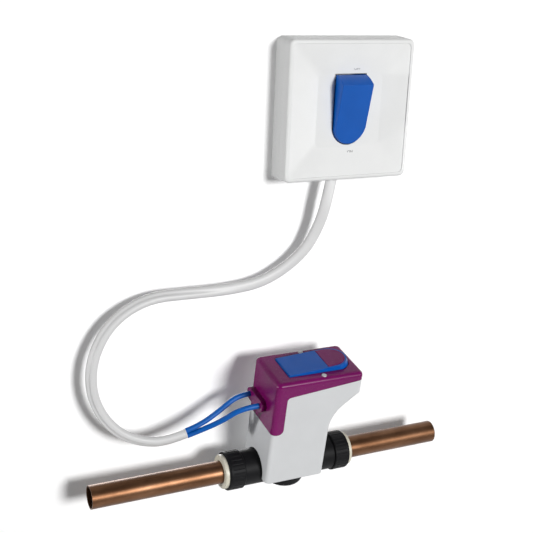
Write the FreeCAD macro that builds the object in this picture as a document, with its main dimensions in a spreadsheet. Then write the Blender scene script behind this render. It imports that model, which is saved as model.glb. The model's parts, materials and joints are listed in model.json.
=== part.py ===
"""Remote shutoff valve for a 15 mm copper pipe, with its wall rocker switch. Millimetres.

X runs along the wall, Y into the wall and Z up. The origin is the middle of the switch box's back.
The valve's pieces are drawn in the valve's own frame, X along the pipe and Z up through the valve,
with the origin on the pipe's axis. One placement, leaned out from the wall, then sets them all.
"""
import FreeCAD, Part
import math
import os
from types import SimpleNamespace

import Sketcher

V = FreeCAD.Vector
Rotation = FreeCAD.Rotation
Placement = FreeCAD.Placement

# Driving sizes: each alias with its value and what it measures
SIZES = {
    "plate_width": (88.2, "width and height of the face plate's front"),
    "side_draft": (0.4, "how far each side spreads over half the depth"),
    "box_depth": (9.0, "depth of the wall box"),
    "plate_depth": (9.0, "depth of the face plate's skirt"),
    "box_corner": (4.0, "corner radius of the switch"),
    "box_wall": (2.2, "side wall of the box and the skirt"),
    "box_floor": (3.0, "back wall of the box"),
    "plate_wall": (2.0, "front wall of the plate"),
    "plate_edge": (1.8, "rounding of the plate's front edge"),
    "rim_width": (2.6, "width of the raised rim"),
    "dish_step": (0.5, "step from the rim down to the dish"),
    "dish_depth": (2.3, "depth of the dish under the rim"),
    "dish_floor": (46.0, "width of the dish's flat middle"),
    "lip_height": (2.0, "how far the plate's lip reaches into the box"),
    "lip_wall": (1.0, "thickness of that lip"),
    "lip_root": (3.0, "how far the lip stands up inside the skirt"),
    "fixing_spacing": (60.3, "distance between the two wall screws"),
    "fixing_radius": (2.25, "radius of the wall screw holes"),
    "fit_gap": (0.15, "gap between fixed pieces that fit together"),
    "swing_gap": (0.5, "gap round a rocker in its opening"),
    "paddle_half": (10.8, "half the width of a rocker"),
    "paddle_rise": (8.5, "how far a rocker's round end stands out from its sides"),
    "paddle_wall": (1.8, "wall of a rocker"),
    "lug_half": (3.0, "half the width of a rocker's pivot lug"),
    "press_radius": (3.5, "radius of the pads that press the bellows"),
    "pin_gap": (0.05, "running gap round a pivot pin"),
    "cheek_gap": (0.6, "gap between a rocker and its cheeks"),
    "cheek_wall": (2.0, "thickness of the cheeks that hold a pivot pin"),
    "switch_radius": (22.4, "reach of the switch rocker's ends from its pivot"),
    "switch_face": (10.8, "distance from the switch pivot to the rocker's face"),
    "switch_back": (0.8, "distance from the switch pivot to the open back of the rocker's sides"),
    "switch_press": (4.0, "distance from the switch pivot to the ends of its press pads"),
    "skirt_start": (18.6, "distance from the switch pivot to where the rocker's end skirts start"),
    "switch_tilt": (13.25, "tilt of the switch rocker at rest, in degrees"),
    "switch_pivot_y": (11.0, "depth of the switch pivot in front of the wall"),
    "switch_pivot_z": (0.5, "height of the switch pivot"),
    "switch_pin": (1.5, "radius of the switch's pivot pin"),
    "switch_lever": (11.0, "distance from the switch pivot to each bellows"),
    "cradle_gap": (3.0, "space between the box floor and the cradle"),
    "cradle_plate": (1.5, "thickness of the cradle's plate"),
    "cradle_half_x": (15.4, "half the cradle's width"),
    "cradle_half_z": (17.5, "half the cradle's height"),
    "boss_x": (13.2, "sideways place of the two cradle bosses"),
    "boss_z": (14.0, "height of the cradle bosses above and below the pivot"),
    "boss_radius": (2.9, "radius of the cradle bosses"),
    "cradle_head": (2.0, "radius of the cradle screws' heads"),
    "screw_shank": (1.2, "radius of the small screws"),
    "screw_head": (2.3, "radius of the small screws' heads"),
    "head_height": (1.6, "height of the small screws' heads"),
    "bellows_radius": (5.5, "outer radius of the bellows"),
    "bellows_valley": (4.3, "radius in the folds of the bellows"),
    "bellows_bore": (3.5, "radius of the bellows' bore"),
    "bellows_crown": (3.0, "radius of the bellows' pressed end"),
    "crown_height": (0.8, "height of that end"),
    "switch_upper_fold": (9.3, "length of the upper switch bellows at rest"),
    "switch_lower_fold": (3.7, "length of the lower switch bellows at rest"),
    "valve_left_fold": (8.4, "length of the left valve bellows at rest"),
    "valve_right_fold": (10.3, "length of the right valve bellows at rest"),
    "nozzle_disc": (0.8, "thickness of a nozzle's disc"),
    "nozzle_stem": (2.0, "radius of a nozzle's stem"),
    "channel_reach": (15.8, "reach of the switch nozzles' channels"),
    "channel_half": (2.5, "half the width of those channels"),
    "tube_radius": (1.8, "radius of an air tube"),
    "sheath_radius": (3.4, "radius of the sheath"),
    "sheath_gap": (0.9, "gap round the sheath where it leaves the box"),
    "sheath_exit_x": (-8.0, "sideways place of the sheath where it leaves the box"),
    "sheath_exit_y": (-12.6, "depth of the sheath there"),
    "sheath_exit_rise": (1.3, "height of the sheath's start above the box's lower edge"),
    "sheath_inside": (10.0, "length of sheath inside the box"),
    "clamp_width": (4.0, "width of the sheath clamp"),
    "clamp_ear": (3.5, "thickness of the clamp's ears"),
    "clamp_half": (7.0, "half the length of the clamp's block"),
    "valve_x": (-38.0, "place of the valve along the wall"),
    "valve_y": (-24.0, "place of the pipe's axis in front of the wall"),
    "valve_z": (-234.84, "height of the pipe's axis below the switch"),
    "valve_lean": (9.43, "lean of the valve about its pipe, in degrees"),
    "pipe_diameter": (15.0, "outside diameter of the copper pipe"),
    "pipe_wall": (0.7, "wall of the copper pipe"),
    "inlet_reach": (135.1, "distance from the valve's middle to the inlet pipe's end"),
    "outlet_reach": (117.7, "distance from the valve's middle to the outlet pipe's end"),
    "pipe_stop": (24.0, "distance from the middle to the pipe stops"),
    "pipe_gap": (0.1, "gap round the pipe in its socket"),
    "mark_width": (0.6, "width of the depth mark scribed round a pipe inside its collet's mouth"),
    "mark_depth": (0.2, "depth of that mark"),
    "mark_inset": (0.1, "distance of the mark inside the collet's face"),
    "socket_depth": (4.5, "length of the close socket behind the O-ring"),
    "seal_bore": (9.7, "radius of the cavity for the O-ring and grab ring"),
    "body_end": (40.7, "distance from the middle to the body's ends"),
    "thread_radius": (10.4, "radius of the threaded ends"),
    "neck_radius": (11.8, "radius of the body's necks"),
    "neck_end": (33.0, "distance from the middle to the necks' shoulders"),
    "waterway": (5.5, "radius of the waterways"),
    "barrel_radius": (13.7, "radius of the body's upright barrel"),
    "barrel_floor": (13.0, "depth of the barrel's bottom under the axis"),
    "barrel_round": (3.0, "rounding of the barrel's bottom"),
    "flange_half": (16.0, "half the width of the square flanges"),
    "flange_base": (13.0, "height of the body flange's underside"),
    "flange_top": (17.0, "height of the body flange's top"),
    "flange_corner": (3.0, "corner radius of the flanges"),
    "chamber_radius": (10.5, "radius of the chamber round the seat"),
    "chamber_floor": (7.0, "depth of that chamber under the axis"),
    "seat_outer": (7.5, "outer radius of the seat tube"),
    "seat_bore": (5.8, "inner radius of the seat tube"),
    "seat_height": (12.0, "height of the seat's lip"),
    "duct_radius": (7.3, "outer radius of the outlet duct"),
    "nut_radius": (12.9, "outer radius of the nuts"),
    "nut_start": (33.3, "distance from the middle to the nuts' inner ends"),
    "nut_end": (44.5, "distance from the middle to the nuts' outer ends"),
    "nut_lip": (1.6, "thickness of the nuts' lip"),
    "nut_recess": (2.0, "depth of the recess in a nut's outer end"),
    "nut_edge": (1.3, "rounding of a nut's outer edge"),
    "nut_thread_gap": (0.1, "gap of the nut's thread"),
    "ridge_radius": (0.6, "radius of the grooves between a nut's ridges"),
    "collet_tip": (34.4, "distance from the middle to a collet's inner tip"),
    "collet_end": (47.0, "distance from the middle to a collet's outer face"),
    "collet_flange": (11.3, "radius of a collet's flange"),
    "flange_depth": (2.9, "thickness of a collet's flange"),
    "collet_sleeve": (9.3, "outer radius of a collet's sleeve"),
    "collet_bore": (7.65, "inner radius of a collet"),
    "collet_slit": (1.2, "width of the slits in a collet"),
    "collet_run": (0.2, "gap round a collet in its nut"),
    "ring_section": (1.08, "section radius of an O-ring"),
    "spacer_depth": (0.9, "thickness of a spacer ring"),
    "grab_depth": (0.5, "thickness of a grab ring"),
    "strainer_depth": (1.0, "thickness of the inlet strainer"),
    "strainer_hole": (1.1, "radius of the strainer's holes"),
    "strainer_pitch": (3.7, "distance of the strainer's holes from its middle"),
    "diaphragm_radius": (15.8, "radius of the diaphragm"),
    "diaphragm_depth": (1.5, "thickness of the diaphragm"),
    "poppet_radius": (7.0, "radius of the poppet"),
    "poppet_depth": (2.0, "thickness of the poppet's head"),
    "poppet_stem": (2.2, "radius of the poppet's stem"),
    "poppet_height": (9.0, "length of the poppet's stem above its head"),
    "backing_depth": (1.5, "thickness of the plate above the diaphragm"),
    "bonnet_flange": (3.5, "thickness of the bonnet's flange"),
    "dome_radius": (11.0, "outer radius of the bonnet's dome"),
    "dome_height": (9.0, "height of the dome above its flange"),
    "dome_wall": (1.8, "wall of the dome"),
    "dome_roof": (2.1, "roof of the dome"),
    "screw_offset": (12.6, "place of the bonnet screws from the middle"),
    "bonnet_screw": (1.25, "radius of the bonnet screws"),
    "spring_radius": (5.1, "mean radius of the main spring"),
    "spring_wire": (0.7, "half the thickness of a spring's coil"),
    "pilot_x": (4.0, "place of the pilot along the pipe"),
    "pilot_radius": (6.0, "radius of the pilot block"),
    "pilot_height": (12.0, "height of the pilot block"),
    "pilot_roof": (1.5, "roof of the pilot block"),
    "pilot_floor": (2.0, "floor of the pilot block"),
    "pilot_bore": (3.6, "radius of the pilot's chamber"),
    "orifice": (0.8, "radius of the pilot's orifice"),
    "stem_radius": (1.2, "radius of the pilot pin"),
    "stem_gap": (0.1, "gap round the pilot pin"),
    "seal_radius": (3.0, "radius of the pilot's seal"),
    "seal_depth": (1.2, "thickness of the pilot's seal"),
    "seal_lift": (1.1, "gap between the pilot's seal and its seat at rest"),
    "collar_depth": (0.8, "thickness of the pilot pin's collar"),
    "pilot_top": (62.6, "height of the pilot pin's top"),
    "casing_left": (22.0, "distance from the middle to the casing's left end"),
    "casing_waist": (20.7, "distance from the middle to the casing's lower right side"),
    "casing_right": (40.1, "distance from the middle to the casing's overhang"),
    "casing_half": (18.5, "half the casing's depth"),
    "casing_skirt": (2.0, "how far the casing reaches under the axis"),
    "casing_top": (75.0, "height of the casing's top"),
    "casing_wall": (2.0, "wall of the casing"),
    "casing_corner": (3.5, "rounding of the casing's upright corners"),
    "casing_edge": (3.0, "rounding of the casing's top edges"),
    "cove_start": (33.0, "height at which the overhang's cove starts"),
    "cove_radius": (22.0, "radius of that cove"),
    "cove_turn": (52.0, "turn of that cove, in degrees"),
    "arch_gap": (0.5, "gap between the casing and the body's necks"),
    "band_left": (64.2, "height of the cover's lower edge beside its leg"),
    "band_right": (69.5, "height of the cover's lower edge at the right end"),
    "leg_width": (7.8, "width of the cover's leg"),
    "leg_foot": (36.5, "height of the leg's foot"),
    "leg_round": (3.5, "rounding of the leg's foot"),
    "bracket_round": (2.6, "rounding between the leg and the band"),
    "valve_radius": (24.4, "reach of the valve rocker's ends from its pivot"),
    "valve_face": (9.3, "distance from the valve pivot to the rocker's face"),
    "valve_back": (1.5, "distance from the valve pivot to the rocker's open back"),
    "valve_tilt": (3.5, "tilt of the valve rocker at rest, in degrees"),
    "valve_pivot_x": (12.5, "place of the valve pivot along the pipe"),
    "valve_pivot_z": (68.0, "height of the valve pivot"),
    "valve_pin": (1.25, "radius of the valve's pivot pin"),
    "finger_reach": (4.5, "how far the pilot finger reaches past the pivot"),
    "finger_radius": (1.8, "radius of the pilot finger"),
    "pad_start": (5.5, "distance from the pivot to the inlay's edge"),
    "pad_inset": (1.1, "distance of the inlay from the rocker's edge"),
    "pad_proud": (0.3, "how far the inlay stands out of the rocker"),
    "pad_depth": (0.5, "how deep the inlay is set in"),
    "left_bellows": (-6.5, "place of the left valve bellows"),
    "right_bellows": (26.0, "place of the right valve bellows"),
    "chassis_base": (57.5, "height of the chassis plate's underside"),
    "chassis_plate": (2.0, "thickness of the chassis plate"),
    "chassis_left": (19.6, "distance from the middle to the chassis's left end"),
    "chassis_right": (33.6, "distance from the middle to the chassis's right end"),
    "chassis_gap": (0.4, "gap between the chassis and the casing's walls"),
    "leg_outer": (9.0, "distance from the middle to the chassis leg's outer side"),
    "leg_inner": (3.5, "distance from the middle to the chassis leg's inner side"),
    "chassis_leg": (2.2, "thickness of a chassis leg"),
    "foot_height": (2.5, "thickness of a chassis foot"),
    "foot_width": (4.4, "depth of a chassis foot"),
    "foot_screw_x": (1.0, "place of the chassis screws along the pipe"),
    "foot_screw_y": (13.7, "place of the chassis screws across the pipe"),
    "peg_radius": (1.6, "radius of the pegs that come through the cover"),
    "peg_y": (14.6, "place of those pegs across the pipe"),
    "peg_x": (12.0, "place of the front peg along the pipe"),
    "peg_rear_x": (9.6, "place of the rear peg along the pipe"),
    "peg_proud": (0.4, "how far the pegs stand out of the cover"),
    "collar_face": (25.5, "distance from the middle to the tube collar's face"),
    "collar_radius": (4.3, "end radius of the tube collar"),
    "collar_height": (50.0, "height of the tube collar's bores"),
    "collar_front": (-2.0, "place of the front bore"),
    "collar_rear": (12.5, "place of the rear bore"),
    "spigot_radius": (2.6, "radius of the collar's spigots"),
    "port_drop": (4.6, "distance of the valve nozzles' ports under the chassis plate's top"),
    "port_reach": (2.3, "reach of a nozzle's port from its stem's middle"),
    "tube_pitch": (3.7, "distance between the two air tubes in the sheath"),
}

BELLOWS_FOLDS = 3
NUT_RIDGES = 28
STRAINER_HOLES = 6
ARC_SHARE = 0.45
VOLUME_TOLERANCE = 0.01

doc = FreeCAD.newDocument("RemoteShutoffValve")
sheet = doc.addObject("Spreadsheet::Sheet", "Sizes")
pieces = []


class Size(float):
    """A length, with the expression that gives it from the sheet's cells."""

    def __new__(cls, number, text=None):
        size = super().__new__(cls, number)
        size.text = text or f"({float(number)!r})"
        return size

    def joined(self, sign, other, number, swapped=False):
        """The size that two sizes or numbers give together."""
        first, last = self, as_size(other)
        if swapped:
            first, last = last, first
        return Size(number, f"({first.text} {sign} {last.text})")

    def __add__(self, other):
        return self.joined("+", other, float(self) + float(other))

    def __radd__(self, other):
        return self.joined("+", other, float(self) + float(other), swapped=True)

    def __sub__(self, other):
        return self.joined("-", other, float(self) - float(other))

    def __rsub__(self, other):
        return self.joined("-", other, float(other) - float(self), swapped=True)

    def __mul__(self, other):
        return self.joined("*", other, float(self) * float(other))

    def __rmul__(self, other):
        return self.joined("*", other, float(self) * float(other), swapped=True)

    def __truediv__(self, other):
        return self.joined("/", other, float(self) / float(other))

    def __neg__(self):
        return Size(-float(self), f"(-{self.text})")


def as_size(value):
    """The value itself if it is a Size, or a plain number as one."""
    return value if isinstance(value, Size) else Size(value)


def fill_sheet():
    """Writes every driving size to the sheet, and returns them as Sizes by name."""
    sheet.set("A1", "what it measures")
    sheet.set("B1", "size")
    named = {}
    for row, (alias, (number, note)) in enumerate(SIZES.items(), start=2):
        sheet.set(f"A{row}", note)
        sheet.set(f"B{row}", str(number))
        sheet.setAlias(f"B{row}", alias)
        named[alias] = Size(number, f"Sizes.{alias}")
    doc.recompute()
    return SimpleNamespace(**named)


s = fill_sheet()

# Helpers that tie properties to the sheet
TURNS = {
    "Z": Rotation(),
    "X": Rotation(V(0, 1, 0), 90),
    "Y": Rotation(V(1, 0, 0), -90),
    "-Y": Rotation(V(1, 0, 0), 90),
}


def bind(thing, **values):
    """Ties each property to the expression of its size."""
    for name, value in values.items():
        thing.setExpression(name, as_size(value).text)


def bind_place(thing, path, place):
    """Ties the three coordinates of a placement to their sizes."""
    for letter, value in zip("xyz", place):
        thing.setExpression(f"{path}.Base.{letter}", as_size(value).text)


def cylinder(name, radius, length, base=(0, 0, 0), axis="Z"):
    thing = doc.addObject("Part::Cylinder", name)
    bind(thing, Radius=radius, Height=length)
    thing.Placement = Placement(V(), TURNS[axis])
    bind_place(thing, "Placement", base)
    return thing


def block(name, low, high):
    """A box between two corners."""
    thing = doc.addObject("Part::Box", name)
    sides = [as_size(top) - bottom for bottom, top in zip(low, high)]
    bind(thing, Length=sides[0], Width=sides[1], Height=sides[2])
    bind_place(thing, "Placement", low)
    return thing


def ring(name, outer, inner, length, base=(0, 0, 0), axis="Z"):
    """A plain tube between two radii."""
    skin = cylinder(name + "_outer", outer, length, base, axis)
    bore = cylinder(name + "_bore", inner, length, base, axis)
    return cut(name + "_ring", skin, bore)


def fuse(name, *things):
    joined = doc.addObject("Part::MultiFuse", name)
    joined.Shapes = list(things)
    return joined


def cut(name, base, *tools):
    result = doc.addObject("Part::Cut", name)
    result.Base = base
    result.Tool = tools[0] if len(tools) == 1 else fuse(name + "_tools", *tools)
    return result


def common(name, first, second):
    result = doc.addObject("Part::Common", name)
    result.Base = first
    result.Tool = second
    return result


def compound(name, *things):
    result = doc.addObject("Part::Compound", name)
    result.Links = list(things)
    return result


def keep(thing, label):
    """Makes the object one of the sub-parts, in the switch's frame."""
    thing.Label = label
    pieces.append(thing)
    return thing


def keep_valve(thing, label):
    """Makes the object one of the valve's sub-parts, and leans it with the valve."""
    thing.Placement = Placement(V(), Rotation(V(1, 0, 0), float(s.valve_lean)))
    bind_place(thing, "Placement", (s.valve_x, s.valve_y, s.valve_z))
    thing.setExpression("Placement.Rotation.Angle", s.valve_lean.text)
    return keep(thing, label)


def valve_point(x, y, z):
    """A point of the valve's frame, in the switch's frame."""
    place = Placement(V(s.valve_x, s.valve_y, s.valve_z), Rotation(V(1, 0, 0), float(s.valve_lean)))
    return place.multVec(V(x, y, z))


# Helpers for bodies and their sketches
def new_body(name):
    return doc.addObject("PartDesign::Body", name)


def origin_plane(body, plane):
    return next(f for f in body.Origin.OriginFeatures if f.Role == plane + "_Plane")


def origin_axis(body, axis):
    return next(f for f in body.Origin.OriginFeatures if f.Role == axis + "_Axis")


def arc_between(first, last, radius):
    """The short arc between two points: a positive radius turns left, a negative one right."""
    chord = last - first
    across = V(-chord.y, chord.x, 0) / chord.Length
    rise = math.sqrt(max(0.0, radius * radius - chord.Length**2 / 4))
    centre = (first + last) / 2 + across * math.copysign(rise, radius)
    start, end = (first, last) if radius > 0 else (last, first)
    angles = [math.atan2(point.y - centre.y, point.x - centre.x) for point in (start, end)]
    circle = Part.Circle(centre, V(0, 0, 1), abs(radius))
    return Part.ArcOfCircle(circle, *angles)


def attach(body, sketch, plane, start):
    sketch.AttachmentSupport = [(origin_plane(body, plane), "")]
    sketch.MapMode = "FlatFace"
    bind_place(sketch, "AttachmentOffset", start)


def outline(body, name, points, plane="XZ", start=(0, 0, 0)):
    """A closed sketch. A point is (u, v), or (u, v, radius) where an arc runs to the next one."""
    sketch = body.newObject("Sketcher::SketchObject", name)
    attach(body, sketch, plane, start)
    corners = [V(float(point[0]), float(point[1]), 0) for point in points]
    ends = []
    for number, point in enumerate(points):
        first, last = corners[number], corners[(number + 1) % len(points)]
        if len(point) == 2:
            sketch.addGeometry(Part.LineSegment(first, last))
            ends.append((1, 2))
            continue
        sketch.addGeometry(arc_between(first, last, float(point[2])))
        ends.append((1, 2) if point[2] > 0 else (2, 1))
        tied = sketch.addConstraint(Sketcher.Constraint("Radius", number, abs(float(point[2]))))
        size = as_size(point[2])
        sketch.setExpression(f"Constraints[{tied}]", (size if size > 0 else -size).text)
    for number, point in enumerate(points):
        before = number - 1 if number else len(points) - 1
        joint = Sketcher.Constraint("Coincident", before, ends[before][1], number, ends[number][0])
        sketch.addConstraint(joint)
        for kind, value in (("DistanceX", point[0]), ("DistanceY", point[1])):
            limit = Sketcher.Constraint(kind, number, ends[number][0], float(value))
            tied = sketch.addConstraint(limit)
            sketch.setExpression(f"Constraints[{tied}]", as_size(value).text)
    return sketch


def circles(body, name, centres, radius, plane="XZ", start=(0, 0, 0)):
    """A sketch of equal circles."""
    sketch = body.newObject("Sketcher::SketchObject", name)
    attach(body, sketch, plane, start)
    for number, (u, v) in enumerate(centres):
        sketch.addGeometry(Part.Circle(V(float(u), float(v), 0), V(0, 0, 1), float(radius)))
        for kind, value in (("DistanceX", u), ("DistanceY", v)):
            limit = Sketcher.Constraint(kind, number, 3, float(value))
            tied = sketch.addConstraint(limit)
            sketch.setExpression(f"Constraints[{tied}]", as_size(value).text)
        tied = sketch.addConstraint(Sketcher.Constraint("Radius", number, float(radius)))
        sketch.setExpression(f"Constraints[{tied}]", as_size(radius).text)
    return sketch


def rectangle(low, high):
    return [(low[0], low[1]), (high[0], low[1]), (high[0], high[1]), (low[0], high[1])]


def rounded(low, high, radius):
    """A rectangle with round corners."""
    left, bottom = low
    right, top = high
    return [
        (left + radius, bottom),
        (right - radius, bottom, radius),
        (right, bottom + radius),
        (right, top - radius, radius),
        (right - radius, top),
        (left + radius, top, radius),
        (left, top - radius),
        (left, bottom + radius, radius),
    ]


def rounded_square(half, radius):
    return rounded((-half, -half), (half, half), radius)


def volume_of(body):
    doc.recompute()
    return body.Shape.Volume


def pad(body, sketch, length, reverse=False):
    """Adds the sketch's form along its plane's normal, or against it."""
    feature = body.newObject("PartDesign::Pad", sketch.Name + "_pad")
    feature.Profile = sketch
    feature.Reversed = reverse
    bind(feature, Length=length)
    return feature


def pocket(body, sketch, length, along=False):
    """Cuts the sketch's form against its plane's normal, or along it."""
    before = volume_of(body)
    feature = body.newObject("PartDesign::Pocket", sketch.Name + "_pocket")
    feature.Profile = sketch
    feature.Reversed = along
    bind(feature, Length=length)
    if volume_of(body) >= before:
        raise RuntimeError(f"{feature.Name} cuts nothing")
    return feature


def loft(body, kind, first, last):
    """A straight-sided loft between two sketches, added or cut."""
    feature = body.newObject(f"PartDesign::{kind}Loft", first.Name + "_loft")
    feature.Profile = first
    feature.Sections = [last]
    feature.Ruled = True
    return feature


def turned(name, points, plane="XZ", axis="H", start=(0, 0, 0)):
    """A body turned about its sketch's own horizontal or vertical axis."""
    body = new_body(name)
    sketch = outline(body, name + "_outline", points, plane, start)
    feature = body.newObject("PartDesign::Revolution", name + "_turn")
    feature.Profile = sketch
    feature.ReferenceAxis = (sketch, [axis + "_Axis"])
    feature.Angle = 360
    return body


def plate(name, low, high, radius, base, depth):
    """A flat plate with round corners, lying on the XY plane's direction."""
    body = new_body(name)
    sketch = outline(body, name + "_outline", rounded(low, high, radius), "XY", (0, 0, base))
    pad(body, sketch, depth)
    return body


def round_edges(body, name, radius, chosen):
    """Rounds those edges of the body's tip that the test picks."""
    doc.recompute()
    tip = body.Tip
    names = [f"Edge{n}" for n, edge in enumerate(tip.Shape.Edges, 1) if chosen(edge)]
    feature = body.newObject("PartDesign::Fillet", name)
    feature.Base = (tip, names)
    bind(feature, Radius=radius)
    return feature


def middle(edge):
    return edge.BoundBox.Center


def is_upright(edge):
    """Whether an edge is straight and runs along Z."""
    box = edge.BoundBox
    return box.XLength < 1e-6 and box.YLength < 1e-6


# Pieces whose path is a route
def unit(vector):
    return V(vector).normalize()


def route_wire(points):
    """Straight runs joined by tangent arcs, each as large as its two runs allow."""
    runs = [last - first for first, last in zip(points, points[1:])]
    edges = []
    radii = []
    start = points[0]
    for corner, before, after in zip(points[1:], runs, runs[1:]):
        half_turn = before.getAngle(after) / 2
        reach = ARC_SHARE * min(before.Length, after.Length)
        radius = reach / math.tan(half_turn)
        inward = unit(unit(after) - unit(before))
        entry = corner - unit(before) * reach
        leave = corner + unit(after) * reach
        crown = corner + inward * (radius / math.cos(half_turn) - radius)
        edges.append(Part.LineSegment(start, entry).toShape())
        edges.append(Part.Arc(entry, crown, leave).toShape())
        radii.append(radius)
        start = leave
    edges.append(Part.LineSegment(start, points[-1]).toShape())
    return Part.Wire(edges), radii


def tube(label, points, radius):
    """A round tube along the route, with its arcs' radii printed and its volume tested."""
    path, radii = route_wire(points)
    section = Part.Wire([Part.makeCircle(radius, points[0], unit(points[1] - points[0]))])
    solid = path.makePipeShell([section], True, False)
    expected = math.pi * radius**2 * path.Length
    share = solid.Volume / expected
    print(label, "length", round(path.Length, 1), "radii", [round(r, 1) for r in radii],
          "volume share", round(share, 4))
    if abs(share - 1) > VOLUME_TOLERANCE:
        raise RuntimeError(f"{label}: the tube's volume doesn't match its length")
    thing = doc.addObject("Part::Feature", label)
    thing.Shape = solid
    return thing


# Depths of the switch, all in front of the wall
half_front = s.plate_width / 2
half_seam = half_front + s.side_draft
half_back = half_seam + s.side_draft
seam_y = -s.box_depth
front_y = -(s.box_depth + s.plate_depth)
cradle_y = -(s.box_floor + s.cradle_gap)
cradle_top_y = cradle_y - s.cradle_plate
pivot = (0, -s.switch_pivot_y, s.switch_pivot_z)
bellows_upper_z = s.switch_pivot_z + s.switch_lever
bellows_lower_z = s.switch_pivot_z - s.switch_lever
channel_y = cradle_y + 0.1
channel_tube_y = -(s.box_floor + s.tube_radius + 0.1)

# Where the sheath leaves the box, and which way it goes
SHEATH_ROUTE = [
    V(s.sheath_exit_x, s.sheath_exit_y, s.sheath_exit_rise - half_back),
    V(-11, -13.6, -59),
    V(-14, -11, -75),
    V(-23.5, -8.5, -94.5),
    V(-49, -7.5, -111),
    V(-75.5, -7.2, -114),
    V(-103.5, -7.5, -113.4),
    V(-130.5, -8.5, -113),
    V(-153.5, -10.5, -124),
    V(-166.5, -12.5, -144),
    V(-169, -14, -166),
    V(-162.5, -15.5, -185),
    V(-150.5, -17.5, -199),
    V(-135, -19.5, -205.7),
    V(-121.5, -21.5, -206.5),
    V(-108.8, -23, -202.6),
]
sheath_start = SHEATH_ROUTE[0]
sheath_way = unit(SHEATH_ROUTE[1] - SHEATH_ROUTE[0])
sheath_inner = sheath_start - sheath_way * float(s.sheath_inside)


def along_sheath(name, radius, before, after):
    """A cylinder on the line of the sheath's first run, past both ends of its inner stretch."""
    thing = doc.addObject("Part::Cylinder", name)
    bind(thing, Radius=radius, Height=s.sheath_inside + before + after)
    base = sheath_inner - sheath_way * before
    thing.Placement = Placement(base, Rotation(V(0, 0, 1), sheath_way))
    return thing


# The switch
def cradle_screw_places():
    """Two opposite corners of the cradle, clear of the air channels."""
    return [(i * s.boss_x, i * s.boss_z + s.switch_pivot_z) for i in (-1, 1)]


def make_wall_box():
    body = new_body("box_moulding")
    back = outline(body, "box_back", rounded_square(half_back, s.box_corner), "XZ")
    rim = outline(body, "box_rim", rounded_square(half_seam, s.box_corner), "XZ", (0, 0, s.box_depth))
    loft(body, "Additive", back, rim)
    inner_corner = s.box_corner - s.box_wall
    floor = outline(body, "box_floor_outline",
                    rounded_square(half_back - s.box_wall, inner_corner), "XZ", (0, 0, s.box_floor))
    mouth = outline(body, "box_mouth_outline",
                    rounded_square(half_seam - s.box_wall, inner_corner), "XZ", (0, 0, s.box_depth))
    loft(body, "Subtractive", floor, mouth)
    places = cradle_screw_places()
    pad(body, circles(body, "box_bosses", places, s.boss_radius, "XZ", (0, 0, s.box_floor)), s.cradle_gap)
    deep = s.box_floor + s.cradle_gap
    holes = circles(body, "box_boss_holes", places, s.screw_shank, "XZ", (0, 0, deep))
    pocket(body, holes, s.cradle_gap + s.box_floor / 2)
    clamp_holes = circles(body, "box_clamp_holes", clamp_screw_places(), s.screw_shank, "XZ",
                          (0, 0, s.box_floor))
    pocket(body, clamp_holes, s.box_floor / 2)
    half_spacing = s.fixing_spacing / 2
    wall_holes = circles(body, "box_wall_holes", [(-half_spacing, 0), (half_spacing, 0)],
                         s.fixing_radius, "XZ", (0, 0, s.box_floor))
    pocket(body, wall_holes, s.box_floor)
    passage = along_sheath("box_passage", s.sheath_radius + s.sheath_gap, 2, 6)
    keep(cut("box_with_passage", body, passage), "wall_box")


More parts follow.
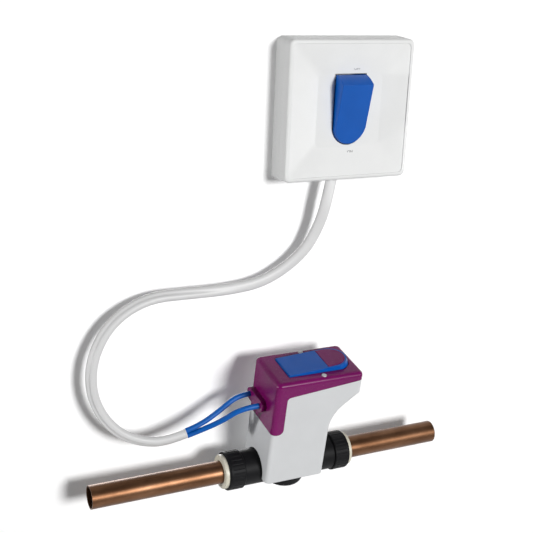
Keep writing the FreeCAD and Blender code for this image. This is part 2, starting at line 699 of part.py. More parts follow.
def make_face_plate():
    body = new_body("plate_moulding")
    back = outline(body, "plate_back", rounded_square(half_seam, s.box_corner), "XZ", (0, 0, -seam_y))
    front = outline(body, "plate_front", rounded_square(half_front, s.box_corner), "XZ", (0, 0, -front_y))
    loft(body, "Additive", back, front)
    front_edge = float(front_y)
    round_edges(body, "plate_front_round", s.plate_edge,
                lambda edge: abs(edge.BoundBox.YMax - front_edge) < 1e-4)
    inner_corner = s.box_corner - s.box_wall
    hollow_y = front_y + s.plate_wall + s.dish_step
    mouth = outline(body, "plate_mouth",
                    rounded_square(half_seam - s.box_wall, inner_corner), "XZ", (0, 0, -seam_y))
    hollow = outline(body, "plate_hollow",
                     rounded_square(half_front - s.box_wall, inner_corner), "XZ", (0, 0, -hollow_y))
    loft(body, "Subtractive", mouth, hollow)
    dish_half = half_front - s.rim_width
    floor_half = s.dish_floor / 2
    floor_y = front_y + s.dish_depth
    behind = outline(body, "dish_behind", rounded_square(dish_half + s.plate_wall / 2, s.box_corner),
                     "XZ", (0, 0, -hollow_y))
    behind_floor = outline(body, "dish_behind_floor", rounded_square(floor_half, s.box_corner),
                           "XZ", (0, 0, -(floor_y + s.plate_wall)))
    loft(body, "Additive", behind, behind_floor)
    dish = outline(body, "dish_mouth", rounded_square(dish_half, s.box_corner - 1), "XZ", (0, 0, -front_y))
    pocket(body, dish, s.dish_step)
    slope = outline(body, "dish_slope", rounded_square(dish_half, s.box_corner - 1),
                    "XZ", (0, 0, -(front_y + s.dish_step)))
    floor = outline(body, "dish_bottom", rounded_square(floor_half, s.box_corner), "XZ", (0, 0, -floor_y))
    loft(body, "Subtractive", slope, floor)
    lip_half = half_seam - s.box_wall - s.fit_gap
    lip_start = -seam_y + s.lip_root
    lip = outline(body, "lip_outline", rounded_square(lip_half, inner_corner), "XZ", (0, 0, lip_start))
    opening = outline(body, "lip_opening", rounded_square(lip_half - s.lip_wall, inner_corner - s.lip_wall / 2),
                      "XZ", (0, 0, -seam_y - s.lip_height))
    pad(body, lip, s.lip_height + s.lip_root, reverse=True)
    pocket(body, opening, s.lip_height + s.lip_root + s.fit_gap, along=True)
    window = paddle("plate_window", s.paddle_half + s.swing_gap, s.switch_radius + s.swing_gap,
                    s.paddle_rise, s.plate_depth * 3, 0)
    bind_place(window, "Placement", pivot)
    radius = s.sheath_radius + s.sheath_gap
    passage = along_sheath("plate_passage", radius, 2, 6)
    notch = block("plate_notch",
                  (sheath_start.x - radius, sheath_start.y, -half_back),
                  (sheath_start.x + radius, seam_y + s.lip_height + 1, -half_seam + s.box_wall * 2))
    keep(cut("plate_with_openings", body, window, passage, notch), "face_plate")


def paddle(name, half, radius, rise, face, back):
    """A rocker's form: pivot along X, face towards -Y, flat end up and round end down."""
    flat = doc.addObject("Part::Cylinder", name + "_flat_end")
    bind(flat, Radius=radius, Height=half * 2)
    flat.Angle = 90
    flat.Placement = Placement(V(), Rotation(V(0, 0, 1), V(0, -1, 0), V(1, 0, 0), "XYZ"))
    bind_place(flat, "Placement", (-half, 0, 0))
    side = radius - rise
    arc = (half * half + rise * rise) / (rise * 2)
    body = new_body(name + "_round_end")
    sketch = outline(body, name + "_round_outline",
                     [(-half, 0), (-half, -side, arc), (half, -side), (half, 0)], "XZ")
    spin = body.newObject("PartDesign::Revolution", name + "_round_turn")
    spin.Profile = sketch
    spin.ReferenceAxis = (sketch, ["H_Axis"])
    spin.Angle = 90
    spin.Reversed = True
    slab = block(name + "_slab", (-half, -face, -radius), (half, -back, radius))
    return common(name, fuse(name + "_ends", flat, body), slab)


def rocker(name, radius, face, back, pad_end, pin, presses, extra=()):
    """A hollow rocker with its pivot lug and the pads that press the bellows."""
    outer = paddle(name + "_outer", s.paddle_half, radius, s.paddle_rise, face, back)
    inner = paddle(name + "_inner", s.paddle_half - s.paddle_wall, radius - s.paddle_wall,
                   s.paddle_rise, face - s.paddle_wall, back - 1)
    shell = cut(name + "_shell", outer, inner)
    inside = face - s.paddle_wall / 2
    pads = [
        cylinder(f"{name}_press_{number}", s.press_radius, inside - pad_end, (0, -pad_end, place), "-Y")
        for number, place in enumerate(presses)
    ]
    lug_end = pin + 1.2
    lug = block(name + "_lug", (-s.lug_half, -inside, -s.lug_half), (s.lug_half, lug_end, s.lug_half))
    ribs = block(name + "_rib", (-0.8, -inside, presses[1]), (0.8, -pad_end - 2, presses[0]))
    solid = fuse(name + "_solid", shell, lug, ribs, *pads, *extra)
    bore = cylinder(name + "_bore", pin + s.pin_gap, s.paddle_half * 2, (-s.paddle_half, 0, 0), "X")
    return cut(name, solid, bore)


def end_skirts():
    """The deeper walls at the two ends of the switch rocker, which hide the gap under them."""
    depth = s.switch_back + s.paddle_wall
    outer = paddle("skirt_outer", s.paddle_half, s.switch_radius, s.paddle_rise, depth, 0)
    inner = paddle("skirt_inner", s.paddle_half - s.paddle_wall, s.switch_radius - s.paddle_wall,
                   s.paddle_rise, depth + 1, -1)
    between = block("skirt_between", (-s.paddle_half, -depth, -s.skirt_start),
                    (s.paddle_half, 0, s.skirt_start))
    return cut("skirts", outer, inner, between)


def make_switch_rocker():
    thing = rocker("switch_paddle", s.switch_radius, s.switch_face, s.switch_back, s.switch_press,
                   s.switch_pin, (s.switch_lever, -s.switch_lever), (end_skirts(),))
    thing.Placement = Placement(V(), Rotation(V(1, 0, 0), float(s.switch_tilt)))
    bind_place(thing, "Placement", pivot)
    thing.setExpression("Placement.Rotation.Angle", s.switch_tilt.text)
    keep(thing, "switch_rocker")


def make_switch_cradle():
    body = new_body("cradle_moulding")
    low = (-s.cradle_half_x, s.switch_pivot_z - s.cradle_half_z)
    high = (s.cradle_half_x, s.switch_pivot_z + s.cradle_half_z)
    flat = outline(body, "cradle_outline", rounded(low, high, s.box_corner / 2), "XZ", (0, 0, -cradle_y))
    pad(body, flat, s.cradle_plate)
    cheek_in = s.paddle_half + s.cheek_gap
    cheek_out = cheek_in + s.cheek_wall
    tall = s.switch_pivot_y + s.switch_pin + 0.6 + cradle_top_y
    for side, near, far in (("left", -cheek_out, -cheek_in), ("right", cheek_in, cheek_out)):
        foot = rectangle((near, s.switch_pivot_z - 4), (far, s.switch_pivot_z + 4))
        pad(body, outline(body, f"cradle_cheek_{side}", foot, "XZ", (0, 0, -cradle_top_y)), tall)
    places = cradle_screw_places()
    holes = circles(body, "cradle_screw_holes", places, s.screw_shank + 0.2, "XZ", (0, 0, -cradle_top_y))
    pocket(body, holes, s.cradle_plate)
    stems = circles(body, "cradle_nozzle_holes", [(0, bellows_upper_z), (0, bellows_lower_z)],
                    s.nozzle_stem + 0.05, "XZ", (0, 0, -cradle_top_y))
    pocket(body, stems, s.cradle_plate)
    bore = cylinder("cradle_pin_bore", s.switch_pin, cheek_out * 2,
                    (-cheek_out, -s.switch_pivot_y, s.switch_pivot_z), "X")
    keep(cut("cradle_with_bore", body, bore), "switch_cradle")
    keep(compound("switch_pin_group", cylinder("switch_pin_rod", s.switch_pin, cheek_out * 2,
                  (-cheek_out, -s.switch_pivot_y, s.switch_pivot_z), "X")), "switch_pivot_pin")
    screws = []
    for number, (x, z) in enumerate(places):
        screws.append(screw(f"cradle_screw_{number}", (x, cradle_top_y, z), "Y",
                            s.cradle_plate + s.cradle_gap + s.box_floor / 4, head=s.cradle_head))
    keep(compound("cradle_screw_group", *screws), "cradle_screws")


def screw(name, seat, axis, length, shank=None, head=None):
    """A pan-head screw whose head stands on the seat point, its shank along the axis."""
    shank = shank or s.screw_shank
    head = head or s.screw_head
    x, y, z = seat
    rise = s.head_height
    cap_base = (x, y - rise, z) if axis == "Y" else (x, y, z)
    shank_base = (x, y, z) if axis == "Y" else (x, y, z - length)
    cap = cylinder(name + "_head", head, rise, cap_base, axis)
    rod = cylinder(name + "_shank", shank, length, shank_base, axis)
    slot = rise / 2
    if axis == "Y":
        groove = block(name + "_slot", (x - head, y - rise, z - 0.3), (x + head, y - slot, z + 0.3))
    else:
        groove = block(name + "_slot", (x - head, y - 0.3, z + slot), (x + head, y + 0.3, z + rise))
    return cut(name, fuse(name + "_blank", cap, rod), groove)


def bellows_outline(length, way):
    """Half the section of a folded bellows with a plain bore, standing up along +v or -v."""
    folded = length - s.crown_height
    points = [(s.bellows_bore, 0), (s.bellows_valley, 0)]
    for fold in range(BELLOWS_FOLDS):
        points.append((s.bellows_radius, folded * (way * (fold + 0.5) / BELLOWS_FOLDS)))
        points.append((s.bellows_valley, folded * (way * (fold + 1) / BELLOWS_FOLDS)))
    points.append((s.bellows_crown, folded * way))
    points.append((s.bellows_crown, length * way))
    points.append((0, length * way))
    points.append((0, (folded - s.crown_height) * way))
    points.append((s.bellows_bore, (folded - s.crown_height) * way))
    return points


def make_switch_bellows():
    for end, height, length in (("upper", bellows_upper_z, s.switch_upper_fold),
                                ("lower", bellows_lower_z, s.switch_lower_fold)):
        body = turned(f"bellows_{end}_body", bellows_outline(length, -1), "XY", "V",
                      (0, cradle_top_y, height))
        keep(body, f"switch_bellows_{end}")
        side = -1 if end == "upper" else 1
        disc = cylinder(f"nozzle_{end}_disc", s.bellows_bore - 0.1, s.nozzle_disc,
                        (0, cradle_top_y, height), "-Y")
        stem = cylinder(f"nozzle_{end}_stem", s.nozzle_stem, s.cradle_plate + 0.1,
                        (0, cradle_top_y, height), "Y")
        reach = s.channel_reach * side
        near, far = (reach, s.nozzle_stem + 0) if side < 0 else (-s.nozzle_stem, reach)
        channel = block(f"nozzle_{end}_channel", (near, channel_y, height - s.channel_half),
                        (far, -s.box_floor - 0.1, height + s.channel_half))
        keep(fuse(f"nozzle_{end}", disc, stem, channel), f"switch_nozzle_{end}")


def make_switch_tubes():
    y = float(channel_tube_y)
    reach = float(s.channel_reach)
    across = unit(V(0, 1, 0).cross(sheath_way)) * float(s.tube_pitch / 2)
    lead = sheath_way * 8
    upper = [
        V(-reach, y, bellows_upper_z),
        V(-22.4, y, bellows_upper_z),
        V(-22.4, y, -12),
        V(-19.5, -8.6, -23.5),
        sheath_inner + across - lead,
        sheath_inner + across,
    ]
    lower = [
        V(reach, y, bellows_lower_z),
        V(22.4, y, bellows_lower_z),
        V(21, -5.6, -23.5),
        V(10, -9.5, -27.3),
        sheath_inner - across - lead,
        sheath_inner - across,
    ]
    keep(tube("upper_tube_run", upper, float(s.tube_radius)), "switch_tube_upper")
    keep(tube("lower_tube_run", lower, float(s.tube_radius)), "switch_tube_lower")
    keep(compound("sheath_end_group", along_sheath("sheath_end_rod", s.sheath_radius, 0, 0)),
         "sheath_inner_end")


def clamp_middle():
    """The point of the sheath's line at the middle of the clamp."""
    return sheath_start - sheath_way * (float(s.sheath_inside) * 0.56)


def clamp_screw_places():
    centre = clamp_middle()
    reach = s.clamp_half + s.screw_head + 0.3
    return [(centre.x - reach, centre.z), (centre.x + reach, centre.z)]


def make_sheath_clamp():
    centre = clamp_middle()
    floor_y = -s.box_floor
    half = s.clamp_width / 2
    ear = s.clamp_half + s.screw_head * 2 + 0.6
    saddle = block("clamp_block", (centre.x - s.clamp_half, centre.y - 1.2, centre.z - half),
                   (centre.x + s.clamp_half, floor_y, centre.z + half))
    ears = block("clamp_ears", (centre.x - ear, floor_y - s.clamp_ear, centre.z - half),
                 (centre.x + ear, floor_y, centre.z + half))
    bore = along_sheath("clamp_bore", s.sheath_radius, 0, 4)
    holes = [
        cylinder(f"clamp_hole_{n}", s.screw_shank + 0.1, s.clamp_ear, (x, floor_y - s.clamp_ear, z), "Y")
        for n, (x, z) in enumerate(clamp_screw_places())
    ]
    keep(cut("clamp_cut", fuse("clamp_solid", saddle, ears), bore, *holes), "sheath_clamp")
    screws = [
        screw(f"clamp_screw_{n}", (x, floor_y - s.clamp_ear, z), "Y", s.clamp_ear + s.box_floor / 4)
        for n, (x, z) in enumerate(clamp_screw_places())
    ]
    keep(compound("clamp_screw_group", *screws), "clamp_screws")


# The free cords between the switch and the valve
def make_cords():
    front_bore = valve_point(-s.collar_face, s.collar_front, s.collar_height)
    rear_bore = valve_point(-s.collar_face, s.collar_rear, s.collar_height)
    front_route = [
        V(-108.25, -23, -204.37),
        V(-99.0, -24.09, -201.53),
        V(-86.5, -28.4, -195.3),
        front_bore + V(-12.5, 0, 0),
        front_bore,
    ]
    rear_route = [
        V(-109.34, -23, -200.8),
        V(-99.84, -24.12, -197.88),
        V(-84.5, -21.6, -190.7),
        rear_bore + V(-9, 0, 0),
        rear_bore,
    ]
    keep(tube("sheath_run", SHEATH_ROUTE, float(s.sheath_radius)), "conduit_sheath")
    keep(tube("front_tube_run", front_route, float(s.tube_radius)), "blue_tube_front")
    keep(tube("rear_tube_run", rear_route, float(s.tube_radius)), "blue_tube_rear")


# The valve's water side
def sided(sign, points):
    """An outline of distances from the middle, laid out towards one end of the pipe."""
    return [(point[0] * sign, *(v if n == 0 else v * sign for n, v in enumerate(point[1:])))
            for point in points]


def along_pipe(name, radius, near, far, sign, height=0):
    """A cylinder on the pipe's axis between two distances from the middle."""
    start = near if sign > 0 else -far
    return cylinder(name, radius, as_size(far) - near, (start, 0, height), "X")


def make_valve_body():
    barrel = turned("barrel", [
        (0, -s.barrel_floor),
        (s.barrel_radius - s.barrel_round, -s.barrel_floor, s.barrel_round),
        (s.barrel_radius, -s.barrel_floor + s.barrel_round),
        (s.barrel_radius, s.flange_base),
        (0, s.flange_base),
    ], axis="V")
    half = s.flange_half
    flange = plate("body_flange", (-half, -half), (half, half), s.flange_corner,
                   s.flange_base, s.flange_top - s.flange_base)
    neck = cylinder("body_neck", s.neck_radius, s.neck_end * 2, (-s.neck_end, 0, 0), "X")
    ends = cylinder("body_ends", s.thread_radius, s.body_end * 2, (-s.body_end, 0, 0), "X")
    core = cylinder("seat_core", s.seat_outer, s.chamber_floor + s.seat_height, (0, 0, -s.chamber_floor))
    duct = cylinder("outlet_duct", s.duct_radius, s.chamber_radius + 1, (0, 0, 0), "X")
    room = cylinder("chamber_room", s.chamber_radius, s.chamber_floor + s.flange_top, (0, 0, -s.chamber_floor))
    chamber = cut("chamber_void", room, core, duct)
    well = cylinder("seat_well", s.seat_bore, s.seat_height + s.waterway, (0, 0, -s.waterway))
    tools = [chamber, well]
    pipe_radius = s.pipe_diameter / 2
    for side, sign, inner in (("inlet", -1, s.seat_outer + 1), ("outlet", 1, 0)):
        socket_end = s.pipe_stop + s.socket_depth
        tools.append(along_pipe(side + "_seal_cavity", s.seal_bore, socket_end, s.body_end, sign))
        tools.append(along_pipe(side + "_socket", pipe_radius + s.pipe_gap, s.pipe_stop, socket_end, sign))
        tools.append(along_pipe(side + "_waterway", s.waterway, inner, s.pipe_stop, sign))
    for number, (x, y) in enumerate(bonnet_screw_places()):
        tools.append(cylinder(f"body_screw_hole_{number}", s.bonnet_screw, s.flange_top - s.flange_base,
                              (x, y, s.flange_base)))
    solid = fuse("body_solid", barrel, flange, neck, ends)
    keep_valve(cut("body_bored", solid, *tools), "valve_body")


def bonnet_screw_places():
    return [(i * s.screw_offset, j * s.screw_offset) for i in (-1, 1) for j in (-1, 1)]


def make_nut(side, sign):
    thread = s.thread_radius + s.nut_thread_gap
    recess_bore = s.collet_flange + s.collet_run
    lip_bore = s.collet_sleeve + s.collet_run
    floor = s.nut_end - s.nut_recess
    body = turned(side + "_nut_blank", sided(sign, [
        (s.nut_start, thread),
        (s.nut_start, s.nut_radius - 0.5),
        (s.nut_start + 0.5, s.nut_radius),
        (s.nut_end - s.nut_edge, s.nut_radius, -s.nut_edge),
        (s.nut_end, s.nut_radius - s.nut_edge),
        (s.nut_end, recess_bore),
        (floor, recess_bore),
        (floor, lip_bore),
        (floor - s.nut_lip, lip_bore),
        (floor - s.nut_lip, thread),
    ]))
    ridge_start = s.nut_start + 1.2
    ridge_length = s.nut_end - s.nut_edge - 1 - ridge_start
    groove = circles(body, side + "_nut_groove", [(0, s.nut_radius + s.ridge_radius * 0.55)],
                     s.ridge_radius, "YZ", (0, 0, ridge_start * sign))
    cutter = pocket(body, groove, ridge_length, along=sign > 0)
    pattern = body.newObject("PartDesign::PolarPattern", side + "_nut_ridges")
    pattern.Originals = [cutter]
    pattern.Axis = (origin_axis(body, "X"), [""])
    pattern.Angle = 360
    pattern.Occurrences = NUT_RIDGES
    body.Tip = pattern
    keep_valve(body, side + "_nut")


def make_collet(side, sign):
    inner_face = s.collet_end - s.flange_depth
    body = turned(side + "_collet_blank", sided(sign, [
        (s.collet_tip, s.collet_bore),
        (s.collet_tip, s.collet_sleeve - 0.4),
        (s.collet_tip + 1.3, s.collet_sleeve),
        (inner_face, s.collet_sleeve),
        (inner_face, s.collet_flange),
        (s.collet_end - 0.5, s.collet_flange),
        (s.collet_end, s.collet_flange - 0.5),
        (s.collet_end, s.collet_bore),
    ]))
    half = s.collet_slit / 2
    tall = s.collet_sleeve + 1
    near, far = s.collet_tip - 1, inner_face - 2.5
    low, high = (near, far) if sign > 0 else (-far, -near)
    slits = [
        block(side + "_slit_upright", (low, -half, -tall), (high, half, tall)),
        block(side + "_slit_level", (low, -tall, -half), (high, tall, half)),
    ]
    keep_valve(cut(side + "_collet_slit", body, *slits), side + "_collet")


def make_pipe_end(side, sign, reach, start):
    make_nut(side, sign)
    make_collet(side, sign)
    pipe_radius = s.pipe_diameter / 2
    skin = along_pipe(side + "_pipe_skin", pipe_radius, start, reach, sign)
    bore = along_pipe(side + "_pipe_bore", pipe_radius - s.pipe_wall, start, reach, sign)
    mark_end = s.collet_end - s.mark_inset
    mark_start = mark_end - s.mark_width
    band = along_pipe(side + "_mark_band", pipe_radius + s.mark_depth, mark_start, mark_end, sign)
    core = along_pipe(side + "_mark_core", pipe_radius - s.mark_depth, mark_start, mark_end, sign)
    mark = cut(side + "_mark", band, core)
    keep_valve(cut(side + "_pipe_tube", skin, bore, mark), side + "_pipe")
    shoulder = s.pipe_stop + s.socket_depth
    seal = doc.addObject("Part::Torus", side + "_seal_torus")
    bind(seal, Radius1=(pipe_radius + s.seal_bore) / 2, Radius2=s.ring_section)
    seal.Placement = Placement(V(), TURNS["X"])
    bind_place(seal, "Placement", ((shoulder + s.ring_section) * sign, 0, 0))
    keep_valve(compound(side + "_seal_group", seal), side + "_o_ring")
    spacer_start = shoulder + s.ring_section * 2 + 0.1
    spacer_end = spacer_start + s.spacer_depth
    outer = s.seal_bore - 0.05
    inner = pipe_radius + 0.1
    for part, near, far in (("spacer", spacer_start, spacer_end),
                            ("grab_ring", spacer_end + 0.05, spacer_end + 0.05 + s.grab_depth)):
        blank = along_pipe(f"{side}_{part}_blank", outer, near, far, sign)
        hole = along_pipe(f"{side}_{part}_hole", inner, near, far, sign)
        keep_valve(cut(f"{side}_{part}_cut", blank, hole), f"{side}_{part}")


def make_strainer():
    rim = along_pipe("strainer_disc", s.pipe_diameter / 2, s.pipe_stop, s.pipe_stop + s.strainer_depth, -1)
    start = -(s.pipe_stop + s.strainer_depth)
    holes = [cylinder("strainer_hole_middle", s.strainer_hole, s.strainer_depth, (start, 0, 0), "X")]
    for number in range(STRAINER_HOLES):
        angle = 2 * math.pi * number / STRAINER_HOLES
        place = (start, s.strainer_pitch * math.cos(angle), s.strainer_pitch * math.sin(angle))
        holes.append(cylinder(f"strainer_hole_{number}", s.strainer_hole, s.strainer_depth, place, "X"))
    keep_valve(cut("strainer_pierced", rim, *holes), "inlet_strainer")


# The diaphragm, the bonnet and the pilot
def make_diaphragm_set():
    top = s.flange_top
    above = top + s.diaphragm_depth
    keep_valve(ring("diaphragm_disc", s.diaphragm_radius, s.poppet_stem + 0.1, s.diaphragm_depth,
                    (0, 0, top)), "diaphragm")
    keep_valve(ring("backing_plate", s.poppet_radius, s.poppet_stem + 0.05, s.backing_depth,
                    (0, 0, above)), "diaphragm_plate")
    head = cylinder("poppet_head", s.poppet_radius, s.poppet_depth, (0, 0, top - s.poppet_depth))
    stem = cylinder("poppet_rod", s.poppet_stem, s.poppet_height, (0, 0, top))
    keep_valve(fuse("poppet_turned", head, stem), "poppet")
    spring_base = above + s.backing_depth + 0.05
    roof = above + s.bonnet_flange + s.dome_height - s.dome_roof
    keep_valve(ring("main_coil", s.spring_radius + s.spring_wire, s.spring_radius - s.spring_wire,
                    roof - 0.05 - spring_base, (0, 0, spring_base)), "main_spring")


def make_bonnet():
    base = s.flange_top + s.diaphragm_depth
    half = s.flange_half
    flange = plate("bonnet_plate", (-half, -half), (half, half), s.flange_corner, base, s.bonnet_flange)
    roof = base + s.bonnet_flange + s.dome_height
    dome = cylinder("bonnet_dome", s.dome_radius, s.dome_height, (0, 0, base + s.bonnet_flange))
    cavity = cylinder("bonnet_cavity", s.dome_radius - s.dome_wall,
                      s.bonnet_flange + s.dome_height - s.dome_roof, (0, 0, base))
    tools = [cavity, cylinder("bonnet_orifice", s.orifice, s.dome_roof + 1, (s.pilot_x, 0, roof - s.dome_roof - 0.5))]
    for number, (x, y) in enumerate(bonnet_screw_places()):
        tools.append(cylinder(f"bonnet_hole_{number}", s.bonnet_screw + 0.15, s.bonnet_flange, (x, y, base)))
    for number, y in enumerate((-s.foot_screw_y, s.foot_screw_y)):
        tools.append(cylinder(f"bonnet_foot_hole_{number}", s.screw_shank, s.bonnet_flange - 0.5,
                              (s.foot_screw_x, y, base + 0.5)))
    keep_valve(cut("bonnet_bored", fuse("bonnet_solid", flange, dome), *tools), "bonnet")
    seat = base + s.bonnet_flange
    grip = s.bonnet_flange + s.diaphragm_depth + (s.flange_top - s.flange_base) - 0.5
    screws = [
        screw(f"bonnet_screw_{n}", (x, y, seat), "Z", grip, s.bonnet_screw, s.screw_head)
        for n, (x, y) in enumerate(bonnet_screw_places())
    ]
    keep_valve(compound("bonnet_screw_group", *screws), "bonnet_screws")


def make_pilot():
    base = s.flange_top + s.diaphragm_depth + s.bonnet_flange + s.dome_height
    x = s.pilot_x
    outside = cylinder("pilot_outside", s.pilot_radius, s.pilot_height, (x, 0, base))
    room_base = base + s.pilot_floor
    room_top = base + s.pilot_height - s.pilot_roof
    room = cylinder("pilot_room", s.pilot_bore, room_top - room_base, (x, 0, room_base))
    way_in = cylinder("pilot_way_in", s.orifice, s.pilot_floor + 1, (x, 0, base - 0.5))
    guide = cylinder("pilot_guide", s.stem_radius + s.stem_gap, s.pilot_roof + 1, (x, 0, room_top - 0.5))
    keep_valve(cut("pilot_bored", outside, room, way_in, guide), "pilot_block")
    seal_top = room_top - s.seal_lift
    seal_base = seal_top - s.seal_depth
    keep_valve(ring("pilot_seal_disc", s.seal_radius, s.stem_radius, s.seal_depth, (x, 0, seal_base)),
               "pilot_seal")
    collar_base = seal_base - s.collar_depth
    rod_base = room_base + 1.5
    rod = cylinder("pilot_rod", s.stem_radius, s.pilot_top - rod_base, (x, 0, rod_base))
    collar = cylinder("pilot_collar", s.seal_radius - 0.4, s.collar_depth, (x, 0, collar_base))
    keep_valve(fuse("pilot_turned", rod, collar), "pilot_pin")
    keep_valve(ring("pilot_coil", s.stem_radius + 0.3 + s.spring_wire * 2, s.stem_radius + 0.3,
                    collar_base - room_base - 0.1, (x, 0, room_base + 0.05)), "pilot_spring")


# The chassis, its bellows and the valve rocker
def make_chassis():
    inner = s.casing_half - s.casing_wall - s.chassis_gap
    base = s.chassis_base
    top = base + s.chassis_plate
    floor = s.flange_top + s.diaphragm_depth + s.bonnet_flange
    body = plate("chassis_moulding", (-s.chassis_left, -inner), (s.chassis_right, inner),
                 s.casing_corner, base, s.chassis_plate)
    cheek_in = s.paddle_half + s.cheek_gap - 0.2
    cheek_out = cheek_in + s.cheek_wall
    tall = s.valve_pivot_z + s.valve_pin + 1.2 - top
    parts = [body]
    for side, sign, peg_x in (("front", -1, s.peg_x), ("rear", 1, s.peg_rear_x)):
        near, far = (cheek_in, cheek_out) if sign > 0 else (-cheek_out, -cheek_in)
        parts.append(block(f"chassis_cheek_{side}", (s.valve_pivot_x - 3.5, near, top),
                           (s.valve_pivot_x + 3.5, far, top + tall)))
        parts.append(cylinder(f"chassis_peg_{side}", s.peg_radius, s.casing_top + s.peg_proud - top,
                              (peg_x, s.peg_y * sign, top)))
        near, far = (inner - s.chassis_leg, inner) if sign > 0 else (-inner, -inner + s.chassis_leg)
        parts.append(block(f"chassis_leg_{side}", (-s.leg_outer, near, floor), (-s.leg_inner, far, base)))
        near, far = (inner - s.foot_width, inner) if sign > 0 else (-inner, -inner + s.foot_width)
        parts.append(block(f"chassis_foot_{side}", (-s.leg_outer, near, floor),
                           (s.foot_screw_x + s.screw_head, far, floor + s.foot_height)))
    tools = [
        cylinder("chassis_left_hole", s.nozzle_stem + 0.1, s.chassis_plate, (s.left_bellows, 0, base)),
        cylinder("chassis_right_hole", s.nozzle_stem + 0.1, s.chassis_plate, (s.right_bellows, 0, base)),
        cylinder("chassis_pin_hole", s.stem_radius + 0.4, s.chassis_plate, (s.pilot_x, 0, base)),
        cylinder("chassis_pivot_hole", s.valve_pin, cheek_out * 2, (s.valve_pivot_x, -cheek_out, s.valve_pivot_z), "Y"),
        cylinder("chassis_dome_room", s.dome_radius + 0.3, s.foot_height, (0, 0, floor)),
    ]
    for number, y in enumerate((-s.foot_screw_y, s.foot_screw_y)):
        tools.append(cylinder(f"chassis_foot_hole_{number}", s.screw_shank + 0.15, s.foot_height,
                              (s.foot_screw_x, y, floor)))
    keep_valve(cut("chassis_cut", fuse("chassis_solid", *parts), *tools), "valve_chassis")
    keep_valve(compound("valve_pin_group", cylinder("valve_pin_rod", s.valve_pin, cheek_out * 2,
               (s.valve_pivot_x, -cheek_out, s.valve_pivot_z), "Y")), "valve_pivot_pin")
    screws = [
        screw(f"chassis_screw_{n}", (s.foot_screw_x, y, floor + s.foot_height), "Z",
              s.foot_height + s.bonnet_flange - 0.6, s.screw_shank, s.screw_head - 0.3)
        for n, y in enumerate((-s.foot_screw_y, s.foot_screw_y))
    ]
    keep_valve(compound("chassis_screw_group", *screws), "chassis_screws")


def make_valve_bellows():
    top = s.chassis_base + s.chassis_plate
    port_height = top - s.port_drop
    for side, x, length in (("left", s.left_bellows, s.valve_left_fold),
                            ("right", s.right_bellows, s.valve_right_fold)):
        body = turned(f"bellows_{side}_body", bellows_outline(length, 1), "XZ", "V", (x, top, 0))
        keep_valve(body, f"valve_bellows_{side}")
        disc = cylinder(f"nozzle_{side}_disc", s.bellows_bore - 0.1, s.nozzle_disc, (x, 0, top))
        low = port_height - s.tube_radius
        stem = cylinder(f"nozzle_{side}_stem", s.nozzle_stem, top - low, (x, 0, low))
        port = cylinder(f"nozzle_{side}_port", s.tube_radius, s.port_reach,
                        (x - s.port_reach, 0, port_height), "X")
        keep_valve(fuse(f"nozzle_{side}", disc, stem, port), f"valve_nozzle_{side}")


def make_valve_tubes():
    bore = -float(s.collar_face)
    height = float(s.collar_height)
    port_z = float(s.chassis_base + s.chassis_plate - s.port_drop)
    left_x = float(s.left_bellows - s.port_reach)
    right_x = float(s.right_bellows - s.port_reach)
    front = [
        V(bore, s.collar_front, height),
        V(bore + 9, s.collar_front, height),
        V(left_x - 4, 0, port_z),
        V(left_x, 0, port_z),
    ]
    rear = [
        V(bore, s.collar_rear, height),
        V(bore + 11.5, s.collar_rear, height),
        V(-3, 9.5, port_z - 1.9),
        V(8, 7.5, port_z - 0.3),
        V(right_x - 6.5, 0, port_z),
        V(right_x, 0, port_z),
    ]
    keep_valve(tube("left_tube_run", front, float(s.tube_radius)), "valve_tube_left")
    keep_valve(tube("right_tube_run", rear, float(s.tube_radius)), "valve_tube_right")


def pad_form(name):
    """The inlay on the valve rocker's round end, in the rocker's own frame."""
    whole = paddle(name + "_paddle", s.paddle_half - s.pad_inset, s.valve_radius - s.pad_inset,
                   s.paddle_rise, s.valve_face + s.pad_proud, s.valve_face - s.pad_depth)
    half = s.paddle_half
    share = block(name + "_share", (-half, -s.valve_face * 2, -s.valve_radius), (half, 0, -s.pad_start))
    return common(name, whole, share)


def rocker_placement():
    """From a rocker's own frame to the valve's place on the wall: its flat end to the left, its face up."""
    turn = Rotation(V(0, 1, 0), V(0, 0, -1), V(-1, 0, 0), "XYZ")
    tilt = Rotation(V(1, 0, 0), -float(s.valve_tilt))
    local = Placement(V(s.valve_pivot_x, 0, s.valve_pivot_z), turn.multiply(tilt))
    valve = Placement(V(s.valve_x, s.valve_y, s.valve_z), Rotation(V(1, 0, 0), float(s.valve_lean)))
    return valve.multiply(local)


def make_valve_rocker():
    left = s.valve_pivot_x - s.left_bellows
    right = s.right_bellows - s.valve_pivot_x
    arm = s.valve_pivot_x - s.pilot_x
    inside = s.valve_face - s.paddle_wall / 2
    finger = cylinder("rocker_finger", s.finger_radius, inside + s.finger_reach, (0, -inside, arm), "Y")
    blank = rocker("valve_paddle", s.valve_radius, s.valve_face, s.valve_back, s.valve_back,
                   s.valve_pin, (left, -right), (finger,))
    thing = cut("valve_paddle_recessed", blank, pad_form("pad_recess"))
    thing.Placement = rocker_placement()
    keep(thing, "valve_rocker")
    inlay = compound("inlay_group", pad_form("inlay_form"))
    inlay.Placement = rocker_placement()
    keep(inlay, "valve_rocker_pad")


